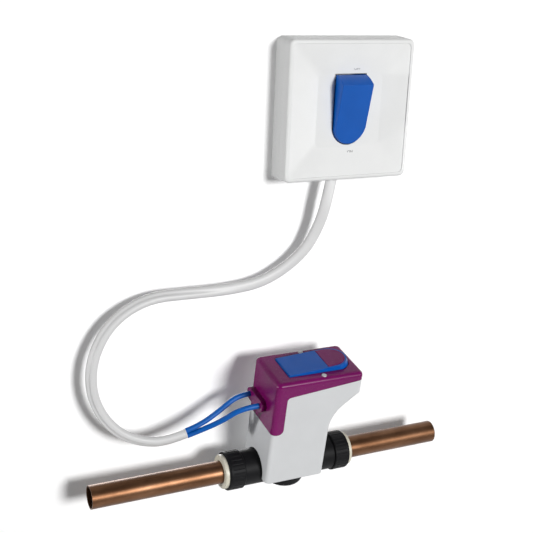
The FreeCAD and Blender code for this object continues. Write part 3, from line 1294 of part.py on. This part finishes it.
# The casing
def casing_points(inset, floor, top):
    """The casing's side outline, drawn in by the inset: upright, cove, slope and overhang."""
    turn = math.radians(float(s.cove_turn))
    radius = s.cove_radius + inset
    centre_x = s.casing_waist + s.cove_radius
    cove_x = centre_x - radius * math.cos(turn)
    cove_z = s.cove_start + radius * math.sin(turn)
    right = s.casing_right - inset
    slope = 1 / math.tan(turn)
    left = -s.casing_left + inset
    return [
        (left, floor),
        (s.casing_waist - inset, floor),
        (s.casing_waist - inset, s.cove_start, -radius),
        (cove_x, cove_z),
        (right, cove_z + (right - cove_x) * slope),
        (right, top),
        (left, top),
    ]


def make_casing():
    half = s.casing_half
    outer = new_body("casing_outer")
    skin = outline(outer, "casing_outline", casing_points(0, -s.casing_skirt, s.casing_top), "XZ", (0, 0, -half))
    pad(outer, skin, half * 2)
    round_edges(outer, "casing_corner_round", s.casing_corner, is_upright)
    top = float(s.casing_top)
    round_edges(outer, "casing_top_round", s.casing_edge, lambda edge: abs(edge.BoundBox.ZMin - top) < 1e-4)
    inside = half - s.casing_wall
    inner = new_body("casing_inner")
    room = outline(inner, "casing_room_outline",
                   casing_points(s.casing_wall, -s.casing_skirt - 1, s.casing_top - s.casing_wall),
                   "XZ", (0, 0, -inside))
    pad(inner, room, inside * 2)
    round_edges(inner, "casing_room_round", s.casing_corner - s.casing_wall, is_upright)
    shell = cut("casing_shell", outer, inner)
    left = -s.casing_left - 2
    right = s.casing_right + 2
    leg_x = -s.casing_left + s.leg_width
    slope = (s.band_right - s.band_left) / (s.casing_right - leg_x)
    bracket = s.bracket_round
    region = new_body("cover_region")
    zone = outline(region, "cover_outline", [
        (left, s.leg_foot),
        (leg_x - s.leg_round, s.leg_foot, s.leg_round),
        (leg_x, s.leg_foot + s.leg_round),
        (leg_x, s.band_left - bracket, -bracket),
        (leg_x + bracket, s.band_left + slope * bracket),
        (right, s.band_right + slope * 2),
        (right, s.casing_top + 2),
        (left, s.casing_top + 2),
    ], "XZ", (0, 0, -half - 2))
    pad(region, zone, (half + 2) * 2)
    window = paddle("cover_window", s.paddle_half + s.swing_gap, s.valve_radius + s.swing_gap,
                    s.paddle_rise, s.valve_face * 3, 0)
    turn = Rotation(V(0, 1, 0), V(0, 0, -1), V(-1, 0, 0), "XYZ")
    window.Placement = Placement(V(), turn)
    bind_place(window, "Placement", (s.valve_pivot_x, 0, s.valve_pivot_z))
    tools = [window]
    for side, sign, peg_x in (("front", -1, s.peg_x), ("rear", 1, s.peg_rear_x)):
        tools.append(cylinder(f"cover_peg_hole_{side}", s.peg_radius + 0.15, s.casing_wall + 1,
                              (peg_x, s.peg_y * sign, s.casing_top - s.casing_wall - 0.5)))
    for side, y in (("front", s.collar_front), ("rear", s.collar_rear)):
        tools.append(cylinder(f"cover_spigot_hole_{side}", s.spigot_radius + 0.05, s.casing_wall + 1,
                              (-s.casing_left - 0.5, y, s.collar_height), "X"))
    keep_valve(cut("cover_cut", common("cover_shell", shell, region), *tools), "top_cover")
    arch = s.neck_radius + s.arch_gap
    reach = s.casing_right
    arches = cylinder("casing_arches", arch, reach * 2, (-reach, 0, 0), "X")
    keep_valve(cut("shroud_cut", shell, region, arches), "shroud")


def make_tube_collar():
    body = new_body("collar_moulding")
    radius = s.collar_radius
    low, high = s.collar_height - radius, s.collar_height + radius
    stadium = outline(body, "collar_outline", [
        (s.collar_front, low),
        (s.collar_rear, low, radius),
        (s.collar_rear, high),
        (s.collar_front, high, radius),
    ], "YZ", (0, 0, -s.collar_face))
    pad(body, stadium, s.collar_face - s.casing_left)
    bores = [(s.collar_front, s.collar_height), (s.collar_rear, s.collar_height)]
    spigots = circles(body, "collar_spigots", bores, s.spigot_radius, "YZ", (0, 0, -s.casing_left))
    pad(body, spigots, s.casing_wall)
    holes = circles(body, "collar_bores", bores, s.tube_radius + 0.05, "YZ", (0, 0, -s.collar_face))
    pocket(body, holes, s.collar_face - s.casing_left + s.casing_wall, along=True)
    keep_valve(body, "tube_collar")


def check_model():
    """Stops if any object failed, or any sub-part isn't a whole, valid set of solids."""
    doc.recompute()
    for thing in doc.Objects:
        if "Invalid" in thing.State or "Error" in thing.State:
            raise RuntimeError(f"{thing.Name} failed: {thing.State}")
    for thing in pieces:
        if thing.Shape.isNull() or not thing.Shape.isValid() or not thing.Shape.Solids:
            raise RuntimeError(f"{thing.Label} isn't a valid solid")


def write_parts():
    os.makedirs("parts", exist_ok=True)
    for thing in pieces:
        thing.Shape.exportStep(os.path.join("parts", thing.Label + ".step"))


make_wall_box()
make_face_plate()
make_switch_rocker()
make_switch_cradle()
make_switch_bellows()
make_sheath_clamp()
make_switch_tubes()
make_cords()
make_valve_body()
make_strainer()
make_pipe_end("inlet", -1, s.inlet_reach, s.pipe_stop + s.strainer_depth + 0.05)
make_pipe_end("outlet", 1, s.outlet_reach, s.pipe_stop)
make_diaphragm_set()
make_bonnet()
make_pilot()
make_chassis()
make_valve_bellows()
make_valve_tubes()
make_valve_rocker()
make_casing()
make_tube_collar()
check_model()
write_parts()
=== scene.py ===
"""Looks of the remote shutoff valve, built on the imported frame. Metres, in the frame's own axes."""

import math
import bpy
import bmesh
from mathutils import Matrix, Quaternion, Vector
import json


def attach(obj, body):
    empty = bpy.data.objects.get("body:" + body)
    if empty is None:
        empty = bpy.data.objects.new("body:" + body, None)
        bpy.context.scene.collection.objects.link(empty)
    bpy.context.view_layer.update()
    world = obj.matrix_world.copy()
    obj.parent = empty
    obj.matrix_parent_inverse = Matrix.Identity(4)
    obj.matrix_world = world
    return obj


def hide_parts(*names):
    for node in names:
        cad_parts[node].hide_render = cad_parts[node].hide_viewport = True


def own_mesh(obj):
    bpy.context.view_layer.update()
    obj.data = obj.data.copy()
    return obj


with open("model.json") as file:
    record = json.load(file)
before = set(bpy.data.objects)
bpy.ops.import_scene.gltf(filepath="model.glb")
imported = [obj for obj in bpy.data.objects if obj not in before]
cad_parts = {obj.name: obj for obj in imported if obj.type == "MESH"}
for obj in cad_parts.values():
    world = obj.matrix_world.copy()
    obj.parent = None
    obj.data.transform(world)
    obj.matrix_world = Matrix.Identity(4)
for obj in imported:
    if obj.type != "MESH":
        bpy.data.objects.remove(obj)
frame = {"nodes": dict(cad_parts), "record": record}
nodes = frame["nodes"]

MM = 0.001
WHITE = (1, 1, 1)

# The valve's own frame: how far it leans back about the pipe, and its origin
LEAN = math.radians(9.43)
VALVE = Vector((-38, -24, -234.84)) * MM

# Sheath and tubes, in millimetres
SHEATH_HALF_WIDE = 3.75
SHEATH_HALF_THIN = 2.75
SHEATH_SQUARENESS = 0.85
CREASE_DEPTH = 0.24
CREASE_WIDTH = 0.9
TUBE_RADIUS = 1.8

# The plate's dished face, in millimetres
FACE_DEPTH = -15.7
SLOPE_START = 23
SLOPE_RISE = 1.8
SLOPE_RUN = 18.5


def point(x, y, z):
    """A point given in millimetres."""
    return Vector((x, y, z)) * MM


def valve_point(x, y, z):
    """A point of the valve's own leaning frame, given in millimetres."""
    return VALVE + Matrix.Rotation(LEAN, 3, "X") @ point(x, y, z)


def valve_way(x, y, z):
    """A direction in the valve's own leaning frame."""
    return Matrix.Rotation(LEAN, 3, "X") @ Vector((x, y, z))


# Camera
CAMERA_PLACE = point(-318.6, -562.2, 96.3)
CAMERA_RIGHT = Vector((0.9043, -0.4251, 0.0395))
CAMERA_FORWARD = Vector((0.4161, 0.8567, -0.3048))


def make_camera():
    """The photograph's camera, 67.5 mm on a 36 mm frame."""
    data = bpy.data.cameras.new("camera")
    data.lens = 67.5
    data.sensor_width = 36
    data.clip_start = 0.02
    camera = bpy.data.objects.new("camera", data)
    right = CAMERA_RIGHT.normalized()
    forward = CAMERA_FORWARD.normalized()
    up = right.cross(forward)
    right = forward.cross(up)
    turn = Matrix((right, up, -forward)).transposed()
    camera.matrix_world = Matrix.Translation(CAMERA_PLACE) @ turn.to_4x4()
    bpy.context.scene.collection.objects.link(camera)
    bpy.context.scene.camera = camera


# Materials
class Shader:
    """A material's node tree with short calls for what this scene uses."""

    def __init__(self, name):
        self.material = bpy.data.materials.new(name)
        self.material.use_nodes = True
        self.tree = self.material.node_tree
        self.surface = self.tree.nodes["Principled BSDF"]
        self.output = self.tree.nodes["Material Output"]
        self.place = self.tree.nodes.new("ShaderNodeTexCoord").outputs["Object"]

    def node(self, kind, **values):
        made = self.tree.nodes.new("ShaderNode" + kind)
        for name, value in values.items():
            setattr(made, name, value)
        return made

    def link(self, source, target):
        self.tree.links.new(source, target)

    def set(self, **values):
        """Sets the shader's own sockets, named with _ for a space."""
        for name, value in values.items():
            self.surface.inputs[name.replace("_", " ")].default_value = value

    def stretched(self, scale):
        """The object's coordinates, scaled along each axis."""
        mapping = self.node("Mapping")
        mapping.inputs["Scale"].default_value = scale
        self.link(self.place, mapping.inputs["Vector"])
        return mapping.outputs["Vector"]

    def noise(self, scale, detail=3, place=None, roughness=0.5):
        """Noise over the object's own coordinates, or over stretched ones."""
        made = self.node("TexNoise")
        made.inputs["Scale"].default_value = scale
        made.inputs["Detail"].default_value = detail
        made.inputs["Roughness"].default_value = roughness
        self.link(place or self.place, made.inputs["Vector"])
        return made.outputs["Fac"]

    def ramp(self, source, stops):
        """A ramp from (position, colour or grey) stops."""
        made = self.node("ValToRGB")
        elements = made.color_ramp.elements
        while len(elements) < len(stops):
            elements.new(0.5)
        for element, (position, value) in zip(elements, stops):
            element.position = position
            element.color = (*value, 1) if hasattr(value, "__len__") else (value, value, value, 1)
        self.link(source, made.inputs["Fac"])
        return made.outputs["Color"]

    def to_range(self, source, low, high):
        """A value from 0 to 1, brought between two others."""
        made = self.node("MapRange")
        made.inputs["To Min"].default_value = low
        made.inputs["To Max"].default_value = high
        self.link(source, made.inputs["Value"])
        return made.outputs["Result"]

    def bumps(self, layers, edge):
        """Bump layers of (height, strength, distance) over softened edges."""
        bevel = self.node("Bevel", samples=4)
        bevel.inputs["Radius"].default_value = edge
        normal = bevel.outputs["Normal"]
        for height, strength, distance in layers:
            bump = self.node("Bump")
            bump.inputs["Strength"].default_value = strength
            bump.inputs["Distance"].default_value = distance
            self.link(height, bump.inputs["Height"])
            self.link(normal, bump.inputs["Normal"])
            normal = bump.outputs["Normal"]
        self.link(normal, self.surface.inputs["Normal"])


def shade(colour, share):
    """A colour made darker or lighter by a share."""
    return tuple(channel * share for channel in colour)


def plastic(name, colour, rough, vary, grain, edge, **extra):
    """Moulded plastic: faint mottling, fine spark-eroded grain and soft edges."""
    shader = Shader(name)
    broad = shader.noise(60, 2)
    fine = shader.noise(2600, 2)
    shader.link(shader.ramp(broad, [(0.3, shade(colour, 1 - vary)), (0.7, shade(colour, 1 + vary / 2))]),
                shader.surface.inputs["Base Color"])
    shader.link(shader.to_range(fine, rough * 0.85, rough * 1.15), shader.surface.inputs["Roughness"])
    shader.bumps([(fine, grain, 0.00005)], edge)
    shader.set(**extra)
    return shader.material


def copper(name):
    """Drawn copper tube: fine lines along it, and brown bloom in patches."""
    shader = Shader(name)
    lines = shader.noise(1, 4, shader.stretched((14, 900, 900)), 0.6)
    bloom = shader.noise(1, 4, shader.stretched((45, 90, 90)), 0.55)
    spots = shader.noise(420, 3)
    tone = shader.ramp(bloom, [
        (0.25, (0.082, 0.038, 0.019)),
        (0.5, (0.132, 0.065, 0.034)),
        (0.75, (0.19, 0.10, 0.057)),
    ])
    mixed = shader.node("Mix", data_type="RGBA", blend_type="MULTIPLY")
    mixed.inputs["Factor"].default_value = 0.5
    shader.link(tone, mixed.inputs["A"])
    shader.link(shader.ramp(lines, [(0.3, 0.7), (0.7, 1.0)]), mixed.inputs["B"])
    shader.link(mixed.outputs["Result"], shader.surface.inputs["Base Color"])
    shader.link(shader.to_range(bloom, 0.44, 0.34), shader.surface.inputs["Roughness"])
    shader.bumps([(lines, 0.2, 0.00006), (spots, 0.12, 0.00008)], 0.0002)
    shader.set(Metallic=1.0)
    return shader.material


def steel(name):
    """Drawn steel wire and turned screws, with lines one way."""
    shader = Shader(name)
    lines = shader.noise(1, 3, shader.stretched((300, 2500, 300)))
    shader.link(shader.ramp(lines, [(0.3, (0.45, 0.45, 0.47)), (0.7, (0.65, 0.65, 0.66))]),
                shader.surface.inputs["Base Color"])
    shader.link(shader.to_range(lines, 0.28, 0.42), shader.surface.inputs["Roughness"])
    shader.bumps([(lines, 0.15, 0.00004)], 0.0001)
    shader.set(Metallic=1.0)
    return shader.material


def rubber(name, colour, rough):
    """Dusty moulded rubber."""
    shader = Shader(name)
    dust = shader.noise(500, 4)
    shader.link(shader.ramp(dust, [(0.35, colour), (0.8, shade(colour, 1.5))]),
                shader.surface.inputs["Base Color"])
    shader.link(shader.to_range(dust, rough, rough * 1.2), shader.surface.inputs["Roughness"])
    shader.bumps([(dust, 0.25, 0.00008)], 0.0001)
    return shader.material


def tinted(name, colour):
    """Purple plastic that lets some light through."""
    shader = Shader(name)
    cloud = shader.noise(45, 3)
    fine = shader.noise(1800, 2)
    shader.link(shader.ramp(cloud, [(0.3, shade(colour, 0.85)), (0.75, shade(colour, 1.1))]),
                shader.surface.inputs["Base Color"])
    shader.link(shader.to_range(fine, 0.22, 0.3), shader.surface.inputs["Roughness"])
    shader.bumps([(fine, 0.08, 0.00004)], 0.0004)
    shader.set(Transmission_Weight=0.2, IOR=1.45, Specular_IOR_Level=0.15)
    return shader.material


def make_materials():
    """The finish of each slot in the record."""
    return {
        "white_switch": plastic("switch_white", (0.79, 0.795, 0.79), rough=0.27, vary=0.02, grain=0.02,
                                edge=0.0004, Specular_IOR_Level=0.13),
        "white_case": plastic("case_white", (0.66, 0.67, 0.68), rough=0.45, vary=0.03, grain=0.12,
                              edge=0.0004, Specular_IOR_Level=0.3),
        "blue_rocker": plastic("rocker_blue", (0.0, 0.09, 0.43), rough=0.3, vary=0.06, grain=0.06,
                               edge=0.0003, Specular_IOR_Level=0.2),
        "purple_cover": tinted("cover_purple", (0.225, 0.003, 0.132)),
        "white_sheath": plastic("sheath_white", (0.66, 0.66, 0.66), rough=0.45, vary=0.03, grain=0.02,
                                edge=0.0003),
        "blue_tube": plastic("tube_blue", (0.0, 0.10, 0.42), rough=0.4, vary=0.1, grain=0.08,
                             edge=0.0001, Specular_IOR_Level=0.25),
        "black_body": plastic("body_black", (0.006, 0.006, 0.007), rough=0.5, vary=0.2, grain=0.15,
                              edge=0.0003, Specular_IOR_Level=0.1),
        "cream_collet": plastic("collet_cream", (0.68, 0.645, 0.53), rough=0.4, vary=0.04, grain=0.08,
                                edge=0.0003),
        "copper": copper("drawn_copper"),
        "steel": steel("plain_steel"),
        "natural_plastic": plastic("natural_nylon", (0.66, 0.65, 0.60), rough=0.45, vary=0.04, grain=0.1,
                                   edge=0.0002),
        "black_rubber": rubber("black_rubber", (0.012, 0.012, 0.012), rough=0.6),
    }


def paint_nodes(materials):
    """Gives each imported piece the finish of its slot."""
    for part in frame["record"]["subparts"]:
        mesh = nodes[part["node"]].data
        mesh.materials.clear()
        mesh.materials.append(materials[part["material_slot"]])


def finish_piece(piece, body, slot, materials):
    """Gives a new piece its body and the finish of its slot."""
    piece.data.materials.clear()
    piece.data.materials.append(materials[slot])
    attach(piece, body)


# Cords
SHEATH_ROUTE = [
    (-8, -12.6, -43.6),
    (-11, -13.6, -59),
    (-14, -11, -75),
    (-23.5, -8.5, -94.5),
    (-49, -7.5, -111),
    (-75.5, -7.2, -114),
    (-103.5, -7.5, -113.4),
    (-130.5, -8.5, -113),
    (-153.5, -10.5, -124),
    (-166.5, -12.5, -144),
    (-169, -14, -166),
    (-162.5, -15.5, -185),
    (-150.5, -17.5, -199),
    (-135, -19.5, -205.7),
    (-121.5, -21.5, -206.5),
    (-108.8, -23, -202.6),
]


def collar_bores():
    """Where the two tubes enter the collar, in millimetres."""
    return [valve_point(-25.5, y, 50) / MM for y in (-2, 12.5)]


def route_curve(name, route):
    """An open spline of order 3 through a route given in millimetres."""
    data = bpy.data.curves.new(name, "CURVE")
    data.dimensions = "3D"
    spline = data.splines.new("NURBS")
    spline.points.add(len(route) - 1)
    for control, place in zip(spline.points, route):
        control.co = (*(Vector(place) * MM), 1)
    spline.order_u = 3
    spline.use_endpoint_u = True
    spline.resolution_u = 12
    data.resolution_u = 12
    piece = bpy.data.objects.new(name, data)
    bpy.context.scene.collection.objects.link(piece)
    return piece


def curve_points(piece):
    """The points of a curve that has no bevel."""
    mesh = bpy.data.meshes.new_from_object(piece)
    points = [vertex.co.copy() for vertex in mesh.vertices]
    bpy.data.meshes.remove(mesh)
    return points


def mesh_piece(name, vertices, faces, smooth=True):
    """A new object made of these points and faces."""
    mesh = bpy.data.meshes.new(name)
    mesh.from_pydata([tuple(v) for v in vertices], [], faces)
    mesh.validate()
    if smooth:
        mesh.shade_smooth()
    piece = bpy.data.objects.new(name, mesh)
    bpy.context.scene.collection.objects.link(piece)
    return piece


def face_outward(piece):
    """Turns every face of a closed form to the outside."""
    mesh = bmesh.new()
    mesh.from_mesh(piece.data)
    bmesh.ops.recalc_face_normals(mesh, faces=mesh.faces)
    mesh.to_mesh(piece.data)
    mesh.free()


def quads(rings, around, spans):
    """Faces between each ring of points and the next, for so many spans."""
    faces = []
    for ring in range(spans):
        for step in range(around):
            after = (step + 1) % around
            low, high = ring * around, (ring + 1) % rings * around
            faces.append((low + step, low + after, high + after, high + step))
    return faces


def capped_quads(rings, around):
    """The same for a form that is open along its length, with a face on each end."""
    faces = quads(rings, around, rings - 1)
    last = rings * around - 1
    faces.append(tuple(range(around)))
    faces.append(tuple(range(last, last - around, -1)))
    return faces


def smooth_step(value):
    """Rises from 0 to 1 with a soft start and end, and stays there outside."""
    value = min(1.0, max(0.0, value))
    return value * value * (3 - 2 * value)


def squared(turn, half):
    """A coordinate of a section that is a little fuller than an ellipse, in millimetres."""
    return math.copysign(abs(turn) ** SHEATH_SQUARENESS, turn) * half


def sheath_roll(share):
    """How far the oval has turned about its route, at this share of its length."""
    loop_roll = math.radians(52)
    end_roll = math.radians(17)
    into_loop = smooth_step((share - 0.25) / 0.3)
    out_of_loop = smooth_step((share - 0.75) / 0.2)
    return loop_roll * into_loop - end_roll * out_of_loop


def crease_depth(share):
    """How deep the crease between the two tubes is, as a share of the half thickness."""
    return CREASE_DEPTH * smooth_step((share - 0.3) / 0.2) * smooth_step((0.95 - share) / 0.1)


def make_sheath(materials):
    """The oval sheath: flat side out at the switch, rolled and creased in the left loop."""
    guide = route_curve("sheath_guide", SHEATH_ROUTE)
    line = curve_points(guide)
    bpy.data.objects.remove(guide)
    lengths = [0.0]
    for before, after in zip(line, line[1:]):
        lengths.append(lengths[-1] + (after - before).length)
    around = 44
    vertices = []
    for number, (place, done) in enumerate(zip(line, lengths)):
        ahead = line[min(number + 1, len(line) - 1)] - line[max(number - 1, 0)]
        tangent = ahead.normalized()
        share = done / lengths[-1]
        wide = tangent.cross(Vector((0, 1, 0))).normalized()
        wide = Quaternion(tangent, sheath_roll(share)) @ wide
        thin = tangent.cross(wide)
        for step in range(around):
            angle = 2 * math.pi * step / around
            u = squared(math.cos(angle), SHEATH_HALF_WIDE)
            dent = 1 - crease_depth(share) * math.exp(-(u / CREASE_WIDTH) ** 2)
            v = squared(math.sin(angle), SHEATH_HALF_THIN) * dent
            vertices.append(place + (wide * u + thin * v) * MM)
    sheath = mesh_piece("sheath", vertices, capped_quads(len(line), around))
    face_outward(sheath)
    finish_piece(sheath, "fixed_parts", "white_sheath", materials)
    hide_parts("conduit_sheath")


def make_air_tubes(materials):
    """The two tubes from the sheath's end into the collar."""
    front_bore, rear_bore = collar_bores()
    routes = {
        "front": [
            (-108.25, -23, -204.37),
            (-99.0, -24.09, -201.53),
            (-86.5, -28.4, -195.3),
            front_bore + Vector((-12.5, 0, 0)),
            front_bore,
        ],
        "rear": [
            (-109.34, -23, -200.8),
            (-99.84, -24.12, -197.88),
            (-84.5, -21.6, -190.7),
            rear_bore + Vector((-9, 0, 0)),
            rear_bore,
        ],
    }
    for name, route in routes.items():
        tube = route_curve("air_tube_" + name, route)
        tube.data.bevel_depth = TUBE_RADIUS * MM
        tube.data.bevel_resolution = 6
        tube.data.use_fill_caps = True
        finish_piece(tube, "fixed_parts", "blue_tube", materials)
        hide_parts("blue_tube_" + name)


# Soft and wound pieces inside
def lathe(name, profile, origin, axis):
    """A closed form turned from (radius, height) points, both in millimetres."""
    axis = Vector(axis).normalized()
    side = axis.orthogonal().normalized()
    across = axis.cross(side)
    around = 40
    vertices = []
    for radius, height in profile:
        for step in range(around):
            angle = 2 * math.pi * step / around
            spoke = side * math.cos(angle) + across * math.sin(angle)
            vertices.append(origin + (spoke * radius + axis * height) * MM)
    piece = mesh_piece(name, vertices, quads(len(profile), around, len(profile)))
    face_outward(piece)
    return piece


def bellows(name, origin, axis, length, folds, materials, node):
    """A rubber bellows with round folds and a flat top."""
    root = 4.35
    fold = 1.1
    wall = 0.8
    axle = 0.05
    top_radius = 2.9
    top_height = 0.9
    top_edge = 0.1
    folded = length - top_height
    outside, inside = [], []
    steps = folds * 8
    for step in range(steps + 1):
        height = folded * step / steps
        radius = root + fold * (0.5 - 0.5 * math.cos(2 * math.pi * folds * step / steps))
        outside.append((radius, height))
        inside.append((radius - wall, min(height, folded - wall)))
    profile = outside + [(top_radius + top_edge, folded + top_edge), (top_radius, length), (axle, length)]
    profile += [(axle, folded - wall)] + inside[::-1]
    piece = lathe(name, profile, origin, axis)
    finish_piece(piece, "fixed_parts", "black_rubber", materials)
    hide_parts(node)
    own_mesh(piece)


def coil(name, origin, axis, radius, length, turns, wire, materials, node):
    """A coil spring of round wire."""
    axis = Vector(axis).normalized()
    side = axis.orthogonal().normalized()
    across = axis.cross(side)
    steps = turns * 20
    section = 8
    vertices = []
    for step in range(steps + 1):
        angle = 2 * math.pi * turns * step / steps
        spoke = side * math.cos(angle) + across * math.sin(angle)
        middle = origin + (spoke * radius + axis * (wire + (length - 2 * wire) * step / steps)) * MM
        for corner in range(section):
            turn = 2 * math.pi * corner / section
            vertices.append(middle + (spoke * math.cos(turn) + axis * math.sin(turn)) * wire * MM)
    piece = mesh_piece(name, vertices, capped_quads(steps + 1, section))
    face_outward(piece)
    finish_piece(piece, "fixed_parts", "steel", materials)
    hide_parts(node)
    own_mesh(piece)


def make_soft_pieces(materials):
    """The bellows and the springs.

    The other pieces would lengthen, which a squash can't show, so they keep their whole length.
    """
    out = Vector((0, -1, 0))
    up = valve_way(0, 0, 1)
    bellows("upper_pump", point(0, -7.5, 11.5), out, length=9.3, folds=3, materials=materials,
            node="switch_bellows_upper")
    bellows("lower_pump", point(0, -7.5, -10.5), out, length=3.7, folds=2, materials=materials,
            node="switch_bellows_lower")
    bellows("left_motor", valve_point(-6.5, 0, 59.5), up, length=8.4, folds=3, materials=materials,
            node="valve_bellows_left")
    bellows("right_motor", valve_point(26, 0, 59.5), up, length=10.3, folds=3, materials=materials,
            node="valve_bellows_right")
    coil("pilot_coil", valve_point(4, 0, 33.1), up, radius=2.2, length=4.0, turns=4, wire=0.5,
         materials=materials, node="pilot_spring")
    coil("main_coil", valve_point(0, 0, 20.1), up, radius=5.1, length=9.0, turns=5, wire=0.55,
         materials=materials, node="main_spring")


# Marks on the plate
def make_marks():
    """The generic words beside the rocker."""
    ink = Shader("printed_grey")
    speck = ink.noise(3000, 2)
    ink.link(ink.ramp(speck, [(0.3, (0.16, 0.16, 0.17)), (0.7, (0.24, 0.24, 0.25))]),
             ink.surface.inputs["Base Color"])
    ink.set(Roughness=0.6)
    slope = math.atan(SLOPE_RISE / SLOPE_RUN)
    half_thick = 0.03
    for word, x, z, lean in (("OFF", 3.9, 26, -slope), ("ON", 2.5, -26.6, slope)):
        data = bpy.data.curves.new("mark_" + word.lower(), "FONT")
        data.body = word
        data.size = 2.6 * MM
        data.align_x = "CENTER"
        data.align_y = "CENTER"
        data.extrude = half_thick * MM
        data.materials.append(ink.material)
        mark = bpy.data.objects.new("mark_" + word.lower(), data)
        depth = FACE_DEPTH - SLOPE_RISE * (abs(z) - SLOPE_START) / SLOPE_RUN
        turn = Matrix.Rotation(math.radians(90) + lean, 4, "X")
        mark.matrix_world = Matrix.Translation(point(x, depth - half_thick, z)) @ turn
        bpy.context.scene.collection.objects.link(mark)
        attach(mark, "fixed_parts")


# Stage and light
def seen(tree, low, high):
    """High where the camera, a reflection or a view through glass looks, and low for light."""
    path = tree.nodes.new("ShaderNodeLightPath")
    either = tree.nodes.new("ShaderNodeMath")
    either.operation = "MAXIMUM"
    tree.links.new(path.outputs["Is Camera Ray"], either.inputs[0])
    tree.links.new(path.outputs["Is Glossy Ray"], either.inputs[1])
    every = tree.nodes.new("ShaderNodeMath")
    every.operation = "MAXIMUM"
    tree.links.new(either.outputs["Value"], every.inputs[0])
    tree.links.new(path.outputs["Is Transmission Ray"], every.inputs[1])
    strength = tree.nodes.new("ShaderNodeMapRange")
    strength.inputs["To Min"].default_value = low
    strength.inputs["To Max"].default_value = high
    tree.links.new(every.outputs["Value"], strength.inputs["Value"])
    return strength.outputs["Result"]


def room_strength(tree):
    """White to the camera, a greyer room in reflections, and a weak fill on the object."""
    fill = 0.08
    darker = 0.6
    path = tree.nodes.new("ShaderNodeLightPath")
    room = tree.nodes.new("ShaderNodeMath")
    room.operation = "SUBTRACT"
    room.inputs[0].default_value = 1.0
    tree.links.new(path.outputs["Is Camera Ray"], room.inputs[1])
    reduced = tree.nodes.new("ShaderNodeMath")
    reduced.operation = "MULTIPLY_ADD"
    tree.links.new(room.outputs["Value"], reduced.inputs[0])
    reduced.inputs[1].default_value = -darker
    tree.links.new(seen(tree, low=fill + darker, high=1.0), reduced.inputs[2])
    return reduced.outputs["Value"]


def backdrop_material(name, see_through, glow):
    """White to the camera and in reflections, and dark where the object shades it.

    A sheet to see through is clear from its back, and lets a lamp behind it light the object.
    """
    shader = Shader(name)
    pale = shader.ramp(shader.noise(3, 2), [(0.3, shade(WHITE, 0.99)), (0.7, WHITE)])
    mixed = shader.node("Mix", data_type="RGBA", blend_type="MULTIPLY")
    mixed.inputs["Factor"].default_value = 1.0
    shader.link(pale, mixed.inputs["A"])
    shader.link(seen(shader.tree, low=0.3, high=1.0), mixed.inputs["B"])
    shader.link(mixed.outputs["Result"], shader.surface.inputs["Base Color"])
    shader.set(Roughness=0.9, Specular_IOR_Level=0.0, Emission_Color=(*WHITE, 1))
    shader.link(seen(shader.tree, low=0.0, high=glow), shader.surface.inputs["Emission Strength"])
    if not see_through:
        return shader.material
    through = shader.node("Math", operation="MAXIMUM")
    shader.link(shader.node("NewGeometry").outputs["Backfacing"], through.inputs[0])
    shader.link(shader.node("LightPath").outputs["Is Shadow Ray"], through.inputs[1])
    clear = shader.node("BsdfTransparent")
    mix = shader.node("MixShader")
    shader.link(through.outputs["Value"], mix.inputs["Fac"])
    shader.link(shader.surface.outputs["BSDF"], mix.inputs[1])
    shader.link(clear.outputs["BSDF"], mix.inputs[2])
    shader.link(mix.outputs["Shader"], shader.output.inputs["Surface"])
    return shader.material


def stage_plane(name, corners, material):
    """One flat sheet of the stage."""
    piece = mesh_piece(name, corners, [(0, 1, 2, 3)], smooth=False)
    piece.data.materials.append(material)


def make_stage():
    """The wall just behind the box, clear from its back, and a floor far below."""
    wall_y = 0.0006
    reach = 2.2
    low = -1.5
    wall = [(-reach, wall_y, low), (reach, wall_y, low), (reach, wall_y, reach), (-reach, wall_y, reach)]
    floor = [(-reach, -reach, low), (reach, -reach, low), (reach, reach, low), (-reach, reach, low)]
    stage_plane("wall", wall, backdrop_material("wall_white", see_through=True, glow=0.08))
    stage_plane("floor", floor, backdrop_material("floor_white", see_through=False, glow=0.5))


def lamp(name, place, target, size, power, spread=180):
    """A round area lamp that points at a target."""
    data = bpy.data.lights.new(name, "AREA")
    data.shape = "DISK"
    data.size = size
    data.energy = power
    data.spread = math.radians(spread)
    piece = bpy.data.objects.new(name, data)
    piece.location = place
    aim = Vector(target) - Vector(place)
    piece.rotation_euler = aim.to_track_quat("-Z", "Y").to_euler()
    bpy.context.scene.collection.objects.link(piece)
    return piece


def make_light():
    """A key lamp, one for the left sides, one for the backs, and a highlight on the plate.

    The highlight's lamp adds no diffuse light: it shows in reflections only.
    """
    middle = (-0.05, 0, -0.12)
    switch = (0, 0, 0)
    lamp("key", (0.85, -2.94, 0.55), middle, size=0.9, power=90)
    lamp("side", (-2.6, -0.14, 0.0), middle, size=0.2, power=30)
    lamp("behind", (0.6, 2.97, -0.1), middle, size=0.95, power=40)
    glint = lamp("glint", (2.25, -2.03, -0.65), switch, size=0.1, power=0.12, spread=8)
    glint.visible_diffuse = False
    world = bpy.data.worlds.new("world")
    world.use_nodes = True
    tree = world.node_tree
    background = tree.nodes["Background"]
    background.inputs["Color"].default_value = (*WHITE, 1)
    tree.links.new(room_strength(tree), background.inputs["Strength"])
    bpy.context.scene.world = world


def main():
    """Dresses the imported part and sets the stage."""
    bpy.context.scene.view_settings.view_transform = "Standard"
    make_camera()
    materials = make_materials()
    make_sheath(materials)
    make_air_tubes(materials)
    paint_nodes(materials)
    make_soft_pieces(materials)
    make_marks()
    make_stage()
    make_light()


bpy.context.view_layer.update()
main()
